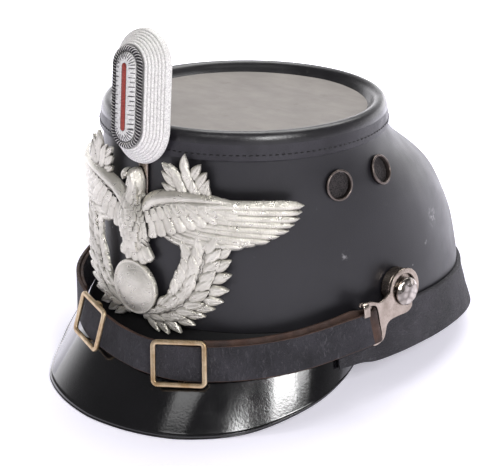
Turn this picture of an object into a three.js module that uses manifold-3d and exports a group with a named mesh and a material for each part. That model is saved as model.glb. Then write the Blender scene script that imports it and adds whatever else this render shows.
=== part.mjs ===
// Peaked shako: a stiff crown with a leather top, front peak, neck guard and chin strap, dressed with a
// silver plate and an oval cockade. Millimetres, +Z up. The wearer faces -Y and their left side is +X.
// Inside the hat group z = 0 is the crown's lower edge. Angles run from the front towards the wearer's left.

import * as THREE from "three";
import { mergeVertices } from "three/addons/utils/BufferGeometryUtils.js";
import Module from "manifold-3d";

const wasm = await Module();
wasm.setup();

// Driving sizes
const BASE_HEIGHT = 42;
const GAP = 0.35;
const CROWN_WALL = 2.5;
const CROWN_SIDES = 40;
const LEATHER = 2.2;
const STRAP_WIDTH = 17;
const STRAP_THICKNESS = 1.7;
const MERGE_DISTANCE = 1e-4;

// Crown sections: distance of the wall from the middle of the base, by height above the lower edge
const CROWN_ROWS = [
  { height: 0, front: 105.0, rear: 105.0, half: 87.5 },
  { height: 8, front: 104.7, rear: 103.2, half: 86.7 },
  { height: 25, front: 104.0, rear: 98.0, half: 84.6 },
  { height: 43, front: 103.3, rear: 87.6, half: 81.4 },
  { height: 52, front: 102.8, rear: 80.2, half: 79.6 },
  { height: 60, front: 102.5, rear: 70.2, half: 77.6 },
  { height: 66, front: 102.3, rear: 61.0, half: 75.9 },
  { height: 72, front: 102.1, rear: 52.0, half: 73.9 },
  { height: 80, front: 101.8, rear: 43.4, half: 71.6 },
  { height: 85, front: 101.6, rear: 39.8, half: 70.6 },
  { height: 90, front: 101.4, rear: 39.2, half: 70.2 },
];

// How far the crown's lower edge runs down inside the neck guard, from one angle off the front to another
const CROWN_TAIL = { drop: 11, from: 95, to: 135 };

// Leather top with its rolled rim and side band: inset from the band's face and height
const BAND_THICKNESS = 1.5;
const BAND_FOOT = 84.4;
const TOP_UNDERSIDE = 90.4;
const TOP_PROFILE = [
  { inset: 14, height: 92.2 },
  { inset: 11, height: 92.4 },
  { inset: 9.4, height: 94.0 },
  { inset: 7.4, height: 96.6 },
  { inset: 5.2, height: 97.4 },
  { inset: 3.0, height: 96.8 },
  { inset: 1.5, height: 94.6 },
  { inset: 0.9, height: 91.6 },
  { inset: 0, height: BAND_FOOT },
  { inset: BAND_THICKNESS, height: BAND_FOOT },
  { inset: BAND_THICKNESS + GAP, height: TOP_UNDERSIDE },
  { inset: 14, height: TOP_UNDERSIDE },
];

// Front peak: how far its edge reaches out of the crown and drops below it, by angle
const PEAK_END = 70;
const PEAK_ROWS = [
  { angle: 0, reach: 36.5, drop: 42.0 },
  { angle: 21, reach: 33.6, drop: 42.0 },
  { angle: 30, reach: 29.0, drop: 42.0 },
  { angle: 38, reach: 24.6, drop: 40.8 },
  { angle: 46, reach: 21.2, drop: 36.5 },
  { angle: 55, reach: 16.6, drop: 30.5 },
  { angle: 63, reach: 8.6, drop: 25.0 },
  { angle: 67, reach: 3.4, drop: 22.0 },
  { angle: 70, reach: 1.0, drop: 19.0 },
];
const PEAK_BULGE = 0.2;
const PEAK_FLANGE = { height: 7, thickness: 1.6 };
const PEAK_LAND = 1.8;
const PEAK_STATIONS = 24;
const PEAK_PARTS = { outside: [0, 0.25, 0.5, 0.75, 0.96], inside: [0.9, 0.6, 0.3] };

// Neck guard: height of its upper edge, and flare and drop of its lower one, by angle from the front
const NECK_START = 61;
const NECK_BOW = 1.3;
const NECK_ROWS = [
  { angle: 61, lap: 3.2, flare: 8.4, drop: 18.4 },
  { angle: 65, lap: 3.2, flare: 6.4, drop: 18.9 },
  { angle: 68.5, lap: 3.2, flare: 4.6, drop: 19.8 },
  { angle: 73, lap: 3.2, flare: 3.2, drop: 21.8 },
  { angle: 80, lap: 3.2, flare: 2.8, drop: 22.0 },
  { angle: 92, lap: 2.8, flare: 2.8, drop: 22.2 },
  { angle: 110, lap: 0.6, flare: 4.4, drop: 24.0 },
  { angle: 130, lap: -3.2, flare: 7.0, drop: 29.0 },
  { angle: 150, lap: -4.6, flare: 8.8, drop: 36.4 },
  { angle: 168, lap: -5.0, flare: 9.6, drop: 42.0 },
  { angle: 180, lap: -5.0, flare: 9.6, drop: 42.0 },
];
const NECK_STATIONS = 32;
const NECK_PARTS = [0, 0.25, 0.5, 0.75, 1];

// Chin strap: its middle line's offset from the base oval, its height and its lean, by angle. It hangs
// aslant, higher on the wearer's right, and is folded back round each claw's bar with its inner layer higher.
const STRAP_ROWS = [
  { angle: -74, offset: 9.6, height: 2.1, lean: 4 },
  { angle: -67, offset: 9.3, height: -0.8, lean: 5 },
  { angle: -62, offset: 10.4, height: -2.7, lean: 0 },
  { angle: -56, offset: 10.8, height: -4.9, lean: -4 },
  { angle: -44, offset: 11.2, height: -5.2, lean: -5 },
  { angle: -32, offset: 11.8, height: -4.6, lean: 2 },
  { angle: -22, offset: 12.6, height: -5.0, lean: 10 },
  { angle: -12, offset: 14.0, height: -6.2, lean: 15 },
  { angle: 0, offset: 15.4, height: -8.6, lean: 10 },
  { angle: 10, offset: 16.2, height: -9.6, lean: 12 },
  { angle: 20, offset: 16.0, height: -10.4, lean: 16 },
  { angle: 30, offset: 13.6, height: -9.9, lean: 15 },
  { angle: 40, offset: 11.1, height: -9.0, lean: 14 },
  { angle: 50, offset: 9.6, height: -7.0, lean: 12 },
  { angle: 56, offset: 9.3, height: -4.9, lean: 10 },
  { angle: 62, offset: 9.1, height: -2.7, lean: 8 },
  { angle: 74, offset: 9.6, height: 2.1, lean: 4 },
];
const STRAP_FOLD = 70.4;
const STRAP_RISE = { left: 2.4, right: -0.8 };
const STRAP_TAIL = 26;
const STRAP_PARTING = { from: 3, to: 10 };
const STRAP_SPREAD = { from: 60, riseFrom: 65 };
const STRAP_STATIONS = { outer: 22, fold: 6, inner: 14 };
const FOLD_RADIUS = 2.1;
const BUCKLES = [
  { name: "left", angle: 20.3, twist: 5 },
  { name: "right", angle: -12, twist: 2 },
];
const BUCKLE = { width: 27.5, height: 22.5, bar: 2.8, depth: 2, corner: 2.6, innerCorner: 0.6, segments: 3 };
const BUCKLE_BAR = { width: 3, depth: 1.2 };

// Side studs with the forked claws that hang on them, and the air vents above
const STUD = { angle: 82.2, height: 12.6, sides: 16, droop: 1.3 };
const STUD_DRUM = { radius: 9.4, out: 5.9 };
const STUD_HEAD = [
  { radius: 5.6, out: STUD_DRUM.out - 1 },
  { radius: 5.6, out: 8.1 },
  { radius: 7.0, out: 8.6 },
  { radius: 6.4, out: 9.9 },
  { radius: 4.2, out: 10.8 },
  { radius: 0, out: 11.1 },
];
const CLAW = { out: 6.4, thickness: 1.3, ring: 10, hole: 7.4, segments: 5, outlineSegments: 60 };
const CLAW_OUTLINE = [
  { along: 4.6, up: -8.0 },
  { along: 4.4, up: -11.0 },
  { along: 1.0, up: -12.8 },
  { along: -4.5, up: -13.0 },
  { along: -10.0, up: -13.4 },
  { along: -12.9, up: -15.0 },
  { along: -14.1, up: -18.2 },
  { along: -15.6, up: -21.6 },
  { along: -19.4, up: -23.3 },
  { along: -22.4, up: -23.3 },
  { along: -22.4, up: -22.1 },
  { along: -18.6, up: -21.8 },
  { along: -17.1, up: -19.0 },
  { along: -18.0, up: -13.0 },
  { along: -18.8, up: -7.6 },
  { along: -20.2, up: -3.7 },
  { along: -24.0, up: -2.7 },
  { along: -30.4, up: -1.6 },
  { along: -30.4, up: 0.4 },
  { along: -27.0, up: 0.0 },
  { along: -22.8, up: -0.6 },
  { along: -17.6, up: -2.4 },
  { along: -13.2, up: -1.2 },
  { along: -9.0, up: 0.8 },
  { along: -7.2, up: -4.9 },
  { along: -3.7, up: -7.9 },
  { along: 0.8, up: -8.7 },
];
const CLAW_BAR = { topAlong: -24.1, top: -2.4, footAlong: -20.7, foot: -22.6, width: 1.2 };
const CLAW_HOOK = { from: -30.6, to: -26.8, top: 0.4, foot: -6.2, lug: 1.8, out: 10.4 };
const VENTS = [
  { name: "front", angle: 74.3, height: 68.6 },
  { name: "rear", angle: 95.8, height: 69.6 },
];
const VENT_MOUTH = 6.3;
const VENT_RIM = [
  { radius: VENT_MOUTH, out: -3.2 },
  { radius: 6.7, out: -3.2 },
  { radius: 6.7, out: 1.0 },
  { radius: 7.5, out: 1.0 },
  { radius: 7.25, out: 1.6 },
  { radius: 6.9, out: 1.9 },
  { radius: VENT_MOUTH, out: 1.5 },
  { radius: VENT_MOUTH, out: -3.2 },
];
const VENT_SIDES = 12;
const VENT_HOLE = { radius: 7.05, depth: 8, sides: 16 };
const GAUZE = { from: -0.8, to: 0 };

// Front plate, laid out flat: across to the wearer's left, and up from the crown's lower edge
const PLATE_RADIUS = 84;
const PLATE_STANDOFF = 2.4;
const PLATE_SPREAD = { half: 85, out: 5, power: 1.2 };
const BRANCH = [
  { at: 0, across: 4, up: 4, half: 4, rise: 2.2 },
  { at: 1, across: 19, up: 8.5, half: 7, rise: 3.0 },
  { at: 2, across: 30, up: 19, half: 9, rise: 3.2 },
  { at: 3, across: 36.5, up: 34, half: 9.3, rise: 2.6 },
  { at: 4, across: 38, up: 50, half: 9.3, rise: 0.9 },
  { at: 5, across: 34.5, up: 64, half: 11, rise: 1.2 },
  { at: 6, across: 31, up: 77, half: 6, rise: 2.6 },
];
const LEAVES = { rows: 13, end: 5.98, notch: 0.7, tip: 0.75, sweep: 2.6 };
const WING_FEATHERS = [
  { root: 62.5, across: 85, up: 65 },
  { root: 60, across: 81, up: 58.8 },
  { root: 57.5, across: 75, up: 53.2 },
  { root: 55, across: 66.5, up: 48.6 },
  { root: 52.5, across: 56, up: 46 },
  { root: 50, across: 44, up: 45 },
];
const WING_ROOT = 14;
const WING_SHEET = { back: -0.4, valley: 1.2, ridge: 2.6, margin: 2, notch: 0.94, steps: 4 };
const WING_ARM = {
  path: [[5, 55], [22, 70], [52, 66.5]],
  width: 9, rise: 3.2, base: 0.6,
  profile: [0.9, 1, 1, 0.85, 0.6, 0.15],
};
const TRUNK = {
  path: [[0, 35], [0, 51], [0, 67]],
  width: 21, rise: 6.2, base: 0.8,
  profile: [0.35, 0.75, 1, 0.95, 0.65, 0.45],
};
const HEAD = {
  path: [[0, 63], [2.5, 70], [-2, 75.5]],
  width: 9.6, rise: 5.6, base: 0.9,
  profile: [0.9, 0.85, 1, 0.9, 0.3],
};
const BEAK = {
  path: [[-2, 73], [-6, 73], [-6.5, 69.5]],
  width: 4, rise: 2.6, base: 2,
  profile: [1, 0.8, 0.1],
};
const TAIL = { root: 42, width: 6.4, rise: 2.2, base: 0.5, lap: 0.1, profile: [0.6, 0.9, 1, 0.5] };
const TAIL_FEATHERS = [
  { across: 9.5, up: 31 },
  { across: 5, up: 28.5 },
  { across: 0, up: 27.5 },
];
const BOSS = { up: 16.5, sides: 18 };
const BOSS_PROFILE = [
  { radius: 13.6, out: 0.4 },
  { radius: 13.6, out: 2.6 },
  { radius: 12.2, out: 3.0 },
  { radius: 9, out: 4.6 },
  { radius: 4, out: 5.6 },
];
const PLATE_POST = { across: 35, up: 52, radius: 2, sides: 8 };

// Cockade: racetrack ovals from its back edge to its raised middle, and the cord and slit set in it
const COCKADE = { across: 3, front: 105.6, up: 110, straight: 13.9, lean: 9, roll: 4.7, below: 6, sides: 24 };
const COCKADE_PROFILE = [
  { radius: 17.0, out: 0 },
  { radius: 17.3, out: 0.8 },
  { radius: 16.8, out: 2.4 },
  { radius: 9.7, out: 10.8 },
  { radius: 9.5, out: 10.0 },
  { radius: 6.7, out: 10.0 },
  { radius: 6.5, out: 12.6 },
  { radius: 4.5, out: 13.5 },
  { radius: 1.8, out: 13.8 },
  { radius: 1.6, out: 12.6 },
];
const CORD_SECTION = [
  { radius: 9.2, out: 10.4 },
  { radius: 9.35, out: 11.8 },
  { radius: 8.1, out: 13.0 },
  { radius: 6.95, out: 11.8 },
  { radius: 7.05, out: 10.4 },
];
const SLIT = { radius: 1.3, from: 12.9, to: 14.1 };
const PRONG = { width: 6, thickness: 1.3, foot: 64, bend: 79, top: 88 };

const MATERIALS = {
  crown: new THREE.MeshStandardMaterial({ color: 0x2a282d, roughness: 0.45 }),
  top: new THREE.MeshStandardMaterial({ color: 0x8f8a84, roughness: 0.6 }),
  patent: new THREE.MeshStandardMaterial({ color: 0x0d0d10, roughness: 0.12 }),
  leather: new THREE.MeshStandardMaterial({ color: 0x242329, roughness: 0.75 }),
  brass: new THREE.MeshStandardMaterial({ color: 0xb09466, roughness: 0.35, metalness: 1 }),
  nickel: new THREE.MeshStandardMaterial({ color: 0xc6beb2, roughness: 0.3, metalness: 1 }),
  gauze: new THREE.MeshStandardMaterial({ color: 0x2b2a2a, roughness: 0.6, metalness: 0.6 }),
  silver: new THREE.MeshStandardMaterial({ color: 0xd8d6d0, roughness: 0.32, metalness: 1 }),
  thread: new THREE.MeshStandardMaterial({ color: 0xd9d9dc, roughness: 0.5, metalness: 0.4 }),
  cord: new THREE.MeshStandardMaterial({ color: 0x2a2026, roughness: 0.7 }),
  red: new THREE.MeshStandardMaterial({ color: 0xb03a30, roughness: 0.8 }),
};

const { degToRad, lerp, smoothstep } = THREE.MathUtils;
const point = (x, y, z) => new THREE.Vector3(x, y, z);

// Even steps from one value to another, both included
function steps(from, to, count) {
  return Array.from({ length: count + 1 }, (_, i) => lerp(from, to, i / count));
}

// Smooth lookup in a short table by its key column
function lookup(rows, key) {
  const names = Object.keys(rows[0]).filter((name) => name !== key);
  const keys = rows.map((row) => row[key]);
  const values = rows.flatMap((row) => names.map((name) => row[name]));
  const curve = new THREE.CubicInterpolant(keys, values, names.length);
  return (at) => {
    const sample = curve.evaluate(at);
    return Object.fromEntries(names.map((name, i) => [name, sample[i]]));
  };
}

const crownAt = lookup(CROWN_ROWS, "height");
const peakAt = lookup(PEAK_ROWS, "angle");
const neckAt = lookup(NECK_ROWS, "angle");
const strapAt = lookup(STRAP_ROWS, "angle");
const branchAt = lookup(BRANCH, "at");

// Point on an oval around the crown, given its front, rear and half width
function ovalPoint({ front, rear, half }, angle, height, offset = 0) {
  const turn = degToRad(angle);
  const middle = (rear - front) / 2;
  const length = (rear + front) / 2 + offset;
  return point((half + offset) * Math.sin(turn), middle - length * Math.cos(turn), height);
}

// Point on the crown's outer wall, or outside it by an offset
function crownPoint(angle, height, offset = 0) {
  return ovalPoint(crownAt(height), angle, height, offset);
}

// Point outside or inside the crown's lower edge, at any height
function basePoint(angle, offset, height) {
  return ovalPoint(CROWN_ROWS[0], angle, height, offset);
}

// Triangles that close one flat ring of points
function capTriangles(ring) {
  const normal = point(0, 0, 0);
  ring.forEach((here, i) => normal.add(here.clone().cross(ring[(i + 1) % ring.length])));
  normal.normalize();
  const along = ring[1].clone().sub(ring[0]).normalize();
  const across = normal.clone().cross(along);
  const flat = ring.map((here) => new THREE.Vector2(here.dot(along), here.dot(across)));
  return THREE.ShapeUtils.triangulateShape(flat, []);
}

// Turn a closed mesh's faces outward
function faceOutward(geometry) {
  const position = geometry.attributes.position;
  const corner = [point(0, 0, 0), point(0, 0, 0), point(0, 0, 0)];
  const index = Array.from(geometry.index.array);
  let volume = 0;
  for (let i = 0; i < index.length; i += 3) {
    corner.forEach((vertex, k) => vertex.fromBufferAttribute(position, index[i + k]));
    volume += corner[0].dot(corner[1].clone().cross(corner[2]));
  }
  if (volume < 0) index.reverse();
  geometry.setIndex(index);
  return geometry;
}

// Closed solid through rings of points: the run closes on itself, or its two ends are capped
function skin(rings, isLoop = false) {
  const count = rings[0].length;
  const index = [];
  const spans = isLoop ? rings.length : rings.length - 1;
  for (let i = 0; i < spans; i++) {
    const here = i * count;
    const next = ((i + 1) % rings.length) * count;
    for (let j = 0; j < count; j++) {
      const k = (j + 1) % count;
      index.push(here + j, next + j, next + k, here + j, next + k, here + k);
    }
  }
  if (!isLoop) {
    const last = (rings.length - 1) * count;
    for (const [a, b, c] of capTriangles(rings[0])) index.push(a, b, c);
    for (const [a, b, c] of capTriangles(rings.at(-1))) index.push(last + a, last + c, last + b);
  }
  const geometry = new THREE.BufferGeometry().setFromPoints(rings.flat());
  geometry.setIndex(index);
  return faceOutward(geometry);
}

// The other side's copy of a piece
function mirrored(geometry) {
  const copy = geometry.clone().scale(-1, 1, 1);
  copy.setIndex(Array.from(copy.index.array).reverse());
  return copy;
}

// Bare positions of a geometry, so that vertices which share a place can be merged
function bared(geometry) {
  geometry.deleteAttribute("normal");
  geometry.deleteAttribute("uv");
  return geometry;
}

// Closed mesh to a solid for joins and cuts, and back
function toSolid(geometry) {
  const merged = mergeVertices(bared(geometry.clone()), MERGE_DISTANCE);
  const vertProperties = new Float32Array(merged.attributes.position.array);
  const triVerts = new Uint32Array(merged.index.array);
  return new wasm.Manifold(new wasm.Mesh({ numProp: 3, vertProperties, triVerts }));
}

function toGeometry(solid) {
  const mesh = solid.getMesh();
  const geometry = new THREE.BufferGeometry();
  geometry.setAttribute("position", new THREE.BufferAttribute(mesh.vertProperties, 3));
  geometry.setIndex(new THREE.BufferAttribute(mesh.triVerts, 1));
  return geometry;
}

function joined(geometries) {
  return toGeometry(geometries.map(toSolid).reduce((whole, solid) => whole.add(solid)));
}

// Frame on the crown's wall: x along the wall to the rear, y up the wall, z straight out of it
function wallFrame(angle, height, offset) {
  const step = 1;
  const origin = crownPoint(angle, height, offset);
  const rearward = crownPoint(angle + step, height, offset).sub(crownPoint(angle - step, height, offset));
  const upward = crownPoint(angle, height + step, offset).sub(crownPoint(angle, height - step, offset));
  const outward = rearward.clone().cross(upward).normalize();
  const along = rearward.normalize();
  return new THREE.Matrix4().makeBasis(along, outward.clone().cross(along), outward).setPosition(origin);
}

const group = new THREE.Group();
const hat = new THREE.Group();
hat.position.z = BASE_HEIGHT;
group.add(hat);

function addPiece(name, geometry, material) {
  const mesh = new THREE.Mesh(geometry, material);
  mesh.name = name;
  hat.add(mesh);
}

// Height of the crown's lower edge: level at the front and sides, lower inside the neck guard
function crownFoot(angle) {
  return -CROWN_TAIL.drop * smoothstep(Math.min(angle, 360 - angle), CROWN_TAIL.from, CROWN_TAIL.to);
}

// Crown wall, open at both ends
function crownGeometry() {
  const heights = CROWN_ROWS.slice(1).map((row) => row.height);
  const rings = steps(0, 360, CROWN_SIDES).slice(0, -1).map((angle) => {
    const wall = (offset) => [
      basePoint(angle, offset, crownFoot(angle)),
      ...heights.map((height) => crownPoint(angle, height, offset)),
    ];
    return [...wall(0), ...wall(-CROWN_WALL).reverse()];
  });
  return skin(rings, true);
}

// Leather top: a dished disc, a rolled rim and a band that laps the crown
function topGeometry() {
  const seat = crownAt(BAND_FOOT);
  const angles = steps(0, 360, CROWN_SIDES).slice(0, -1);
  const rings = TOP_PROFILE.map(({ inset, height }) => {
    const offset = BAND_THICKNESS + GAP - inset;
    return angles.map((angle) => ovalPoint(seat, angle, height, offset));
  });
  return skin(rings);
}

// Front peak: a flange inside the crown, a steep shell and an edge that lies flat on the table
function peakGeometry() {
  const under = -(CROWN_WALL + GAP);
  const rings = steps(-PEAK_END, PEAK_END, PEAK_STATIONS).map((angle) => {
    const { reach, drop: freeDrop } = peakAt(Math.abs(angle));
    const drop = Math.min(freeDrop, BASE_HEIGHT);
    const slope = Math.atan2(reach, drop);
    const shellPoint = (part, depth) => {
      const bulge = PEAK_BULGE * 4 * part * (1 - part) - depth;
      const offset = reach * part + bulge * Math.cos(slope);
      const height = -GAP - (drop - GAP) * part + bulge * Math.sin(slope);
      return basePoint(angle, offset, Math.max(height, -drop));
    };
    return [
      crownPoint(angle, PEAK_FLANGE.height, under - PEAK_FLANGE.thickness),
      crownPoint(angle, PEAK_FLANGE.height, under),
      basePoint(angle, under, -GAP),
      ...PEAK_PARTS.outside.map((part) => shellPoint(part, 0)),
      basePoint(angle, reach, -drop),
      basePoint(angle, reach - PEAK_LAND, -drop),
      ...PEAK_PARTS.inside.map((part) => shellPoint(part, LEATHER)),
      basePoint(angle, under - PEAK_FLANGE.thickness, -LEATHER - GAP),
    ];
  });
  return skin(rings);
}

// Neck guard: a leather apron that laps the crown from outside and flares to the table at the rear
function neckGeometry() {
  const rings = steps(NECK_START, 360 - NECK_START, NECK_STATIONS).map((angle) => {
    const { lap, flare, drop: freeDrop } = neckAt(Math.min(angle, 360 - angle));
    const drop = Math.min(freeDrop, BASE_HEIGHT);
    const wallPoint = (part, thickness) => {
      return basePoint(angle, GAP + flare * part ** NECK_BOW + thickness, lerp(lap, -drop, part));
    };
    const outer = NECK_PARTS.map((part) => wallPoint(part, LEATHER));
    const inner = NECK_PARTS.map((part) => wallPoint(part, 0));
    return [...outer, ...inner.reverse()];
  });
  return skin(rings);
}

// Frame on the strap's middle line: x along it to the wearer's left, y across its width, z straight out of it
function strapFrame(angle) {
  const step = 0.5;
  const middleAt = (at) => basePoint(at, strapAt(at).offset, strapAt(at).height);
  const lean = degToRad(strapAt(angle).lean);
  const along = middleAt(angle + step).sub(middleAt(angle - step)).normalize();
  const outward = point(Math.sin(degToRad(angle)), -Math.cos(degToRad(angle)), 0);
  const across = outward.multiplyScalar(-Math.sin(lean));
  across.z = Math.cos(lean);
  across.addScaledVector(along, -across.dot(along)).normalize();
  const out = along.clone().cross(across);
  return new THREE.Matrix4().makeBasis(along, across, out).setPosition(middleAt(angle));
}

// Four corners of the strap at one station: shift along, rise across, lift out, and turn about its width
function strapRing({ angle, shift = 0, rise = 0, lift = 0, turn = 0 }) {
  const frame = strapFrame(angle);
  const half = STRAP_WIDTH / 2;
  const thick = point(Math.sin(turn), 0, Math.cos(turn)).multiplyScalar(STRAP_THICKNESS / 2);
  return [[1, 1], [1, -1], [-1, -1], [-1, 1]].map(([side, face]) => {
    const corner = point(shift, rise + side * half, lift).addScaledVector(thick, face);
    return corner.applyMatrix4(frame);
  });
}

// Half of the strap, to one side: from the front round the claw's bar and back to its inner end
function strapHalf(side) {
  const layer = (STRAP_THICKNESS + GAP) / 2;
  const { from, riseFrom } = STRAP_SPREAD;
  const tailRise = side > 0 ? STRAP_RISE.left : STRAP_RISE.right;
  const liftAt = (angle) => {
    const parted = layer * smoothstep(angle, STRAP_PARTING.from, STRAP_PARTING.to);
    return parted + (FOLD_RADIUS - layer) * smoothstep(angle, from, STRAP_FOLD);
  };
  const outer = steps(0, STRAP_FOLD, STRAP_STATIONS.outer).map((angle) => ({ angle, lift: liftAt(angle) }));
  const fold = steps(0, Math.PI, STRAP_STATIONS.fold).slice(1, -1).map((turn) => ({
    angle: STRAP_FOLD,
    shift: side * FOLD_RADIUS * Math.sin(turn),
    lift: FOLD_RADIUS * Math.cos(turn),
    turn: side * turn,
  }));
  const inner = steps(STRAP_FOLD, STRAP_TAIL, STRAP_STATIONS.inner).map((angle) => ({
    angle,
    lift: -liftAt(angle),
    rise: tailRise * (1 - smoothstep(angle, riseFrom, STRAP_FOLD)),
    turn: Math.PI,
  }));
  const stations = [...outer, ...fold, ...inner];
  return stations.map((station) => strapRing({ ...station, angle: side * station.angle }));
}

// Chin strap: one strip from its inner end on one side to that on the other
function strapGeometry() {
  return skin([...strapHalf(-1).slice(1).reverse(), ...strapHalf(1)]);
}

// Extruded outline, standing from one level to another above its own plane
function slab(shape, from, to, curveSegments) {
  const geometry = new THREE.ExtrudeGeometry(shape, { depth: to - from, bevelEnabled: false, curveSegments });
  return mergeVertices(bared(geometry.translate(0, 0, from)), MERGE_DISTANCE);
}

function box(width, height, from, to, x = 0, y = 0) {
  const geometry = new THREE.BoxGeometry(width, height, to - from);
  return mergeVertices(bared(geometry.translate(x, y, (from + to) / 2)), MERGE_DISTANCE);
}

function roundedRectangle(width, height, corner) {
  const shape = new THREE.Shape();
  const [x, y] = [width / 2 - corner, height / 2 - corner];
  shape.absarc(x, y, corner, 0, Math.PI / 2);
  shape.absarc(-x, y, corner, Math.PI / 2, Math.PI);
  shape.absarc(-x, -y, corner, Math.PI, 1.5 * Math.PI);
  shape.absarc(x, -y, corner, 1.5 * Math.PI, 2 * Math.PI);
  return shape;
}

// Slider buckle: a square frame over the strap with a bar behind the outer layer
function buckleGeometry({ angle, twist }) {
  const { width, height, bar, depth, corner, innerCorner, segments } = BUCKLE;
  const front = STRAP_THICKNESS + 1.5 * GAP;
  const frame = roundedRectangle(width, height, corner);
  frame.holes.push(roundedRectangle(width - 2 * bar, height - 2 * bar, innerCorner));
  const barFront = -GAP / 2;
  const barBack = barFront - BUCKLE_BAR.depth;
  const lug = (height - STRAP_WIDTH) / 2 - GAP;
  const lugs = [1, -1].map((side) => {
    return box(BUCKLE_BAR.width, lug, barBack, front + depth / 2, 0, side * (height - lug) / 2);
  });
  const crossbar = box(BUCKLE_BAR.width, height - lug, barBack, barFront);
  const buckle = joined([slab(frame, front, front + depth, segments), crossbar, ...lugs]);
  return buckle.rotateZ(degToRad(twist)).applyMatrix4(strapFrame(angle));
}

// Forked claw: a ring round the stud, and a fork whose two prongs hold the bar in the strap's fold
function clawGeometry() {
  const { out, thickness, ring, hole, segments, outlineSegments } = CLAW;
  const eye = new THREE.Shape().absarc(0, 0, ring, 0, 2 * Math.PI);
  eye.holes.push(new THREE.Path().absarc(0, 0, hole, 0, 2 * Math.PI));
  const corners = CLAW_OUTLINE.map(({ along, up }) => new THREE.Vector2(along, up));
  const outline = new THREE.SplineCurve([...corners, corners[0]]).getPoints(outlineSegments);
  const fork = new THREE.Shape(outline.slice(0, -1));
  const { topAlong, top, footAlong, foot, width } = CLAW_BAR;
  const bar = new THREE.Shape([
    new THREE.Vector2(topAlong + width / 2, top),
    new THREE.Vector2(topAlong - width / 2, top),
    new THREE.Vector2(footAlong - width / 2, foot),
    new THREE.Vector2(footAlong + width / 2, foot),
  ]);
  const plates = [eye, fork, bar].map((shape) => slab(shape, out, out + thickness, segments));
  const hookWidth = CLAW_HOOK.to - CLAW_HOOK.from;
  const hookMiddle = (CLAW_HOOK.to + CLAW_HOOK.from) / 2;
  const lugMiddle = CLAW_HOOK.top - CLAW_HOOK.lug / 2;
  const lug = box(hookWidth, CLAW_HOOK.lug, out + GAP, CLAW_HOOK.out, hookMiddle, lugMiddle);
  const hookHeight = CLAW_HOOK.top - CLAW_HOOK.foot;
  const hookRise = (CLAW_HOOK.top + CLAW_HOOK.foot) / 2;
  const hook = box(hookWidth, hookHeight, CLAW_HOOK.out - thickness, CLAW_HOOK.out, hookMiddle, hookRise);
  return joined([...plates, lug, hook]).applyMatrix4(wallFrame(STUD.angle, STUD.height, 0));
}

// Turned solid about an upright axis, from rows of radius and height
function turned(profile, sides) {
  const outline = profile.map(({ radius, out }) => new THREE.Vector2(radius, out));
  const geometry = new THREE.LatheGeometry(outline, sides).rotateX(Math.PI / 2);
  const solid = mergeVertices(bared(geometry), MERGE_DISTANCE);
  const corners = Array.from(solid.index.array);
  const triangles = Array.from({ length: corners.length / 3 }, (_, i) => corners.slice(3 * i, 3 * i + 3));
  solid.setIndex(triangles.filter((triangle) => new Set(triangle).size === 3).flat());
  return faceOutward(solid);
}

function disc(radius, from, to, sides) {
  const profile = [[0, from], [radius, from], [radius, to], [0, to]];
  return turned(profile.map(([r, out]) => ({ radius: r, out })), sides);
}

function onWall(geometry, { angle, height }) {
  return geometry.applyMatrix4(wallFrame(angle, height, 0));
}

// Stud: a drum on the wall with a neck and a flat head, which hangs a little low
function studGeometry() {
  const drum = disc(STUD_DRUM.radius, GAP, STUD_DRUM.out, STUD.sides);
  const foot = { radius: 0, out: STUD_HEAD[0].out };
  const head = turned([foot, ...STUD_HEAD], STUD.sides).translate(0, -STUD.droop, 0);
  return onWall(joined([drum, head]), STUD);
}

// Vent: a flanged tube through the wall, with a disc of gauze inside it
function ventRimGeometry(place) {
  return onWall(turned(VENT_RIM, VENT_SIDES), place);
}

function ventGauzeGeometry(place) {
  return onWall(disc(VENT_MOUTH - GAP, GAUZE.from, GAUZE.to, VENT_SIDES), place);
}

// Crown wall with a hole for each vent
function ventedCrown() {
  const { radius, depth, sides } = VENT_HOLE;
  let solid = toSolid(crownGeometry());
  for (const place of VENTS) {
    const cutter = onWall(disc(radius, -depth, depth, sides), place);
    solid = solid.subtract(toSolid(cutter)).subtract(toSolid(mirrored(cutter)));
  }
  return toGeometry(solid);
}

// How far the plate's back stands off the crown, which is more towards its sides
function plateStandoff(across) {
  const part = Math.min(Math.abs(across) / PLATE_SPREAD.half, 1);
  return PLATE_STANDOFF + PLATE_SPREAD.out * Math.sin((part * Math.PI) / 2) ** PLATE_SPREAD.power;
}

// Point on the front plate, wrapped round the crown's front
function platePoint(across, up, out) {
  const angle = THREE.MathUtils.radToDeg(across / PLATE_RADIUS);
  return crownPoint(angle, up, plateStandoff(across) + out);
}

// Cross-sections of raised blades: side and height as parts of the half width and rise
const RIDGED = [[-1, 0], [0, 1], [1, 0]];
const ROUNDED = [[-1, 0], [-0.75, 0.7], [0, 1], [0.75, 0.7], [1, 0]];

// Raised blade on the plate along a flat curve, swelling and thinning by its profile
function blade({ path, width, rise, base, profile }, section) {
  const curve = new THREE.QuadraticBezierCurve(...path.map(([x, y]) => new THREE.Vector2(x, y)));
  const rings = profile.map((part, i) => {
    const at = i / (profile.length - 1);
    const middle = curve.getPoint(at);
    const along = curve.getTangent(at);
    return section.map(([side, height]) => {
      const reach = side * part * width / 2;
      const out = base + height * rise * Math.sqrt(part);
      return platePoint(middle.x - along.y * reach, middle.y + along.x * reach, out);
    });
  });
  return skin(rings);
}

// One branch of the wreath: a raised band of leaves, whose tips make a saw edge
function branchRing(at, spread) {
  const { across, up, half, rise } = branchAt(at);
  const step = 0.01;
  const ahead = branchAt(at + step);
  const along = new THREE.Vector2(ahead.across - across, ahead.up - up).normalize();
  return ROUNDED.map(([side, height]) => {
    const reach = side * half * spread;
    const sweep = LEAVES.sweep * Math.abs(side) * spread;
    const x = across - along.y * reach + along.x * sweep;
    const y = up + along.x * reach + along.y * sweep;
    return platePoint(x, y, height * rise);
  });
}

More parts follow.
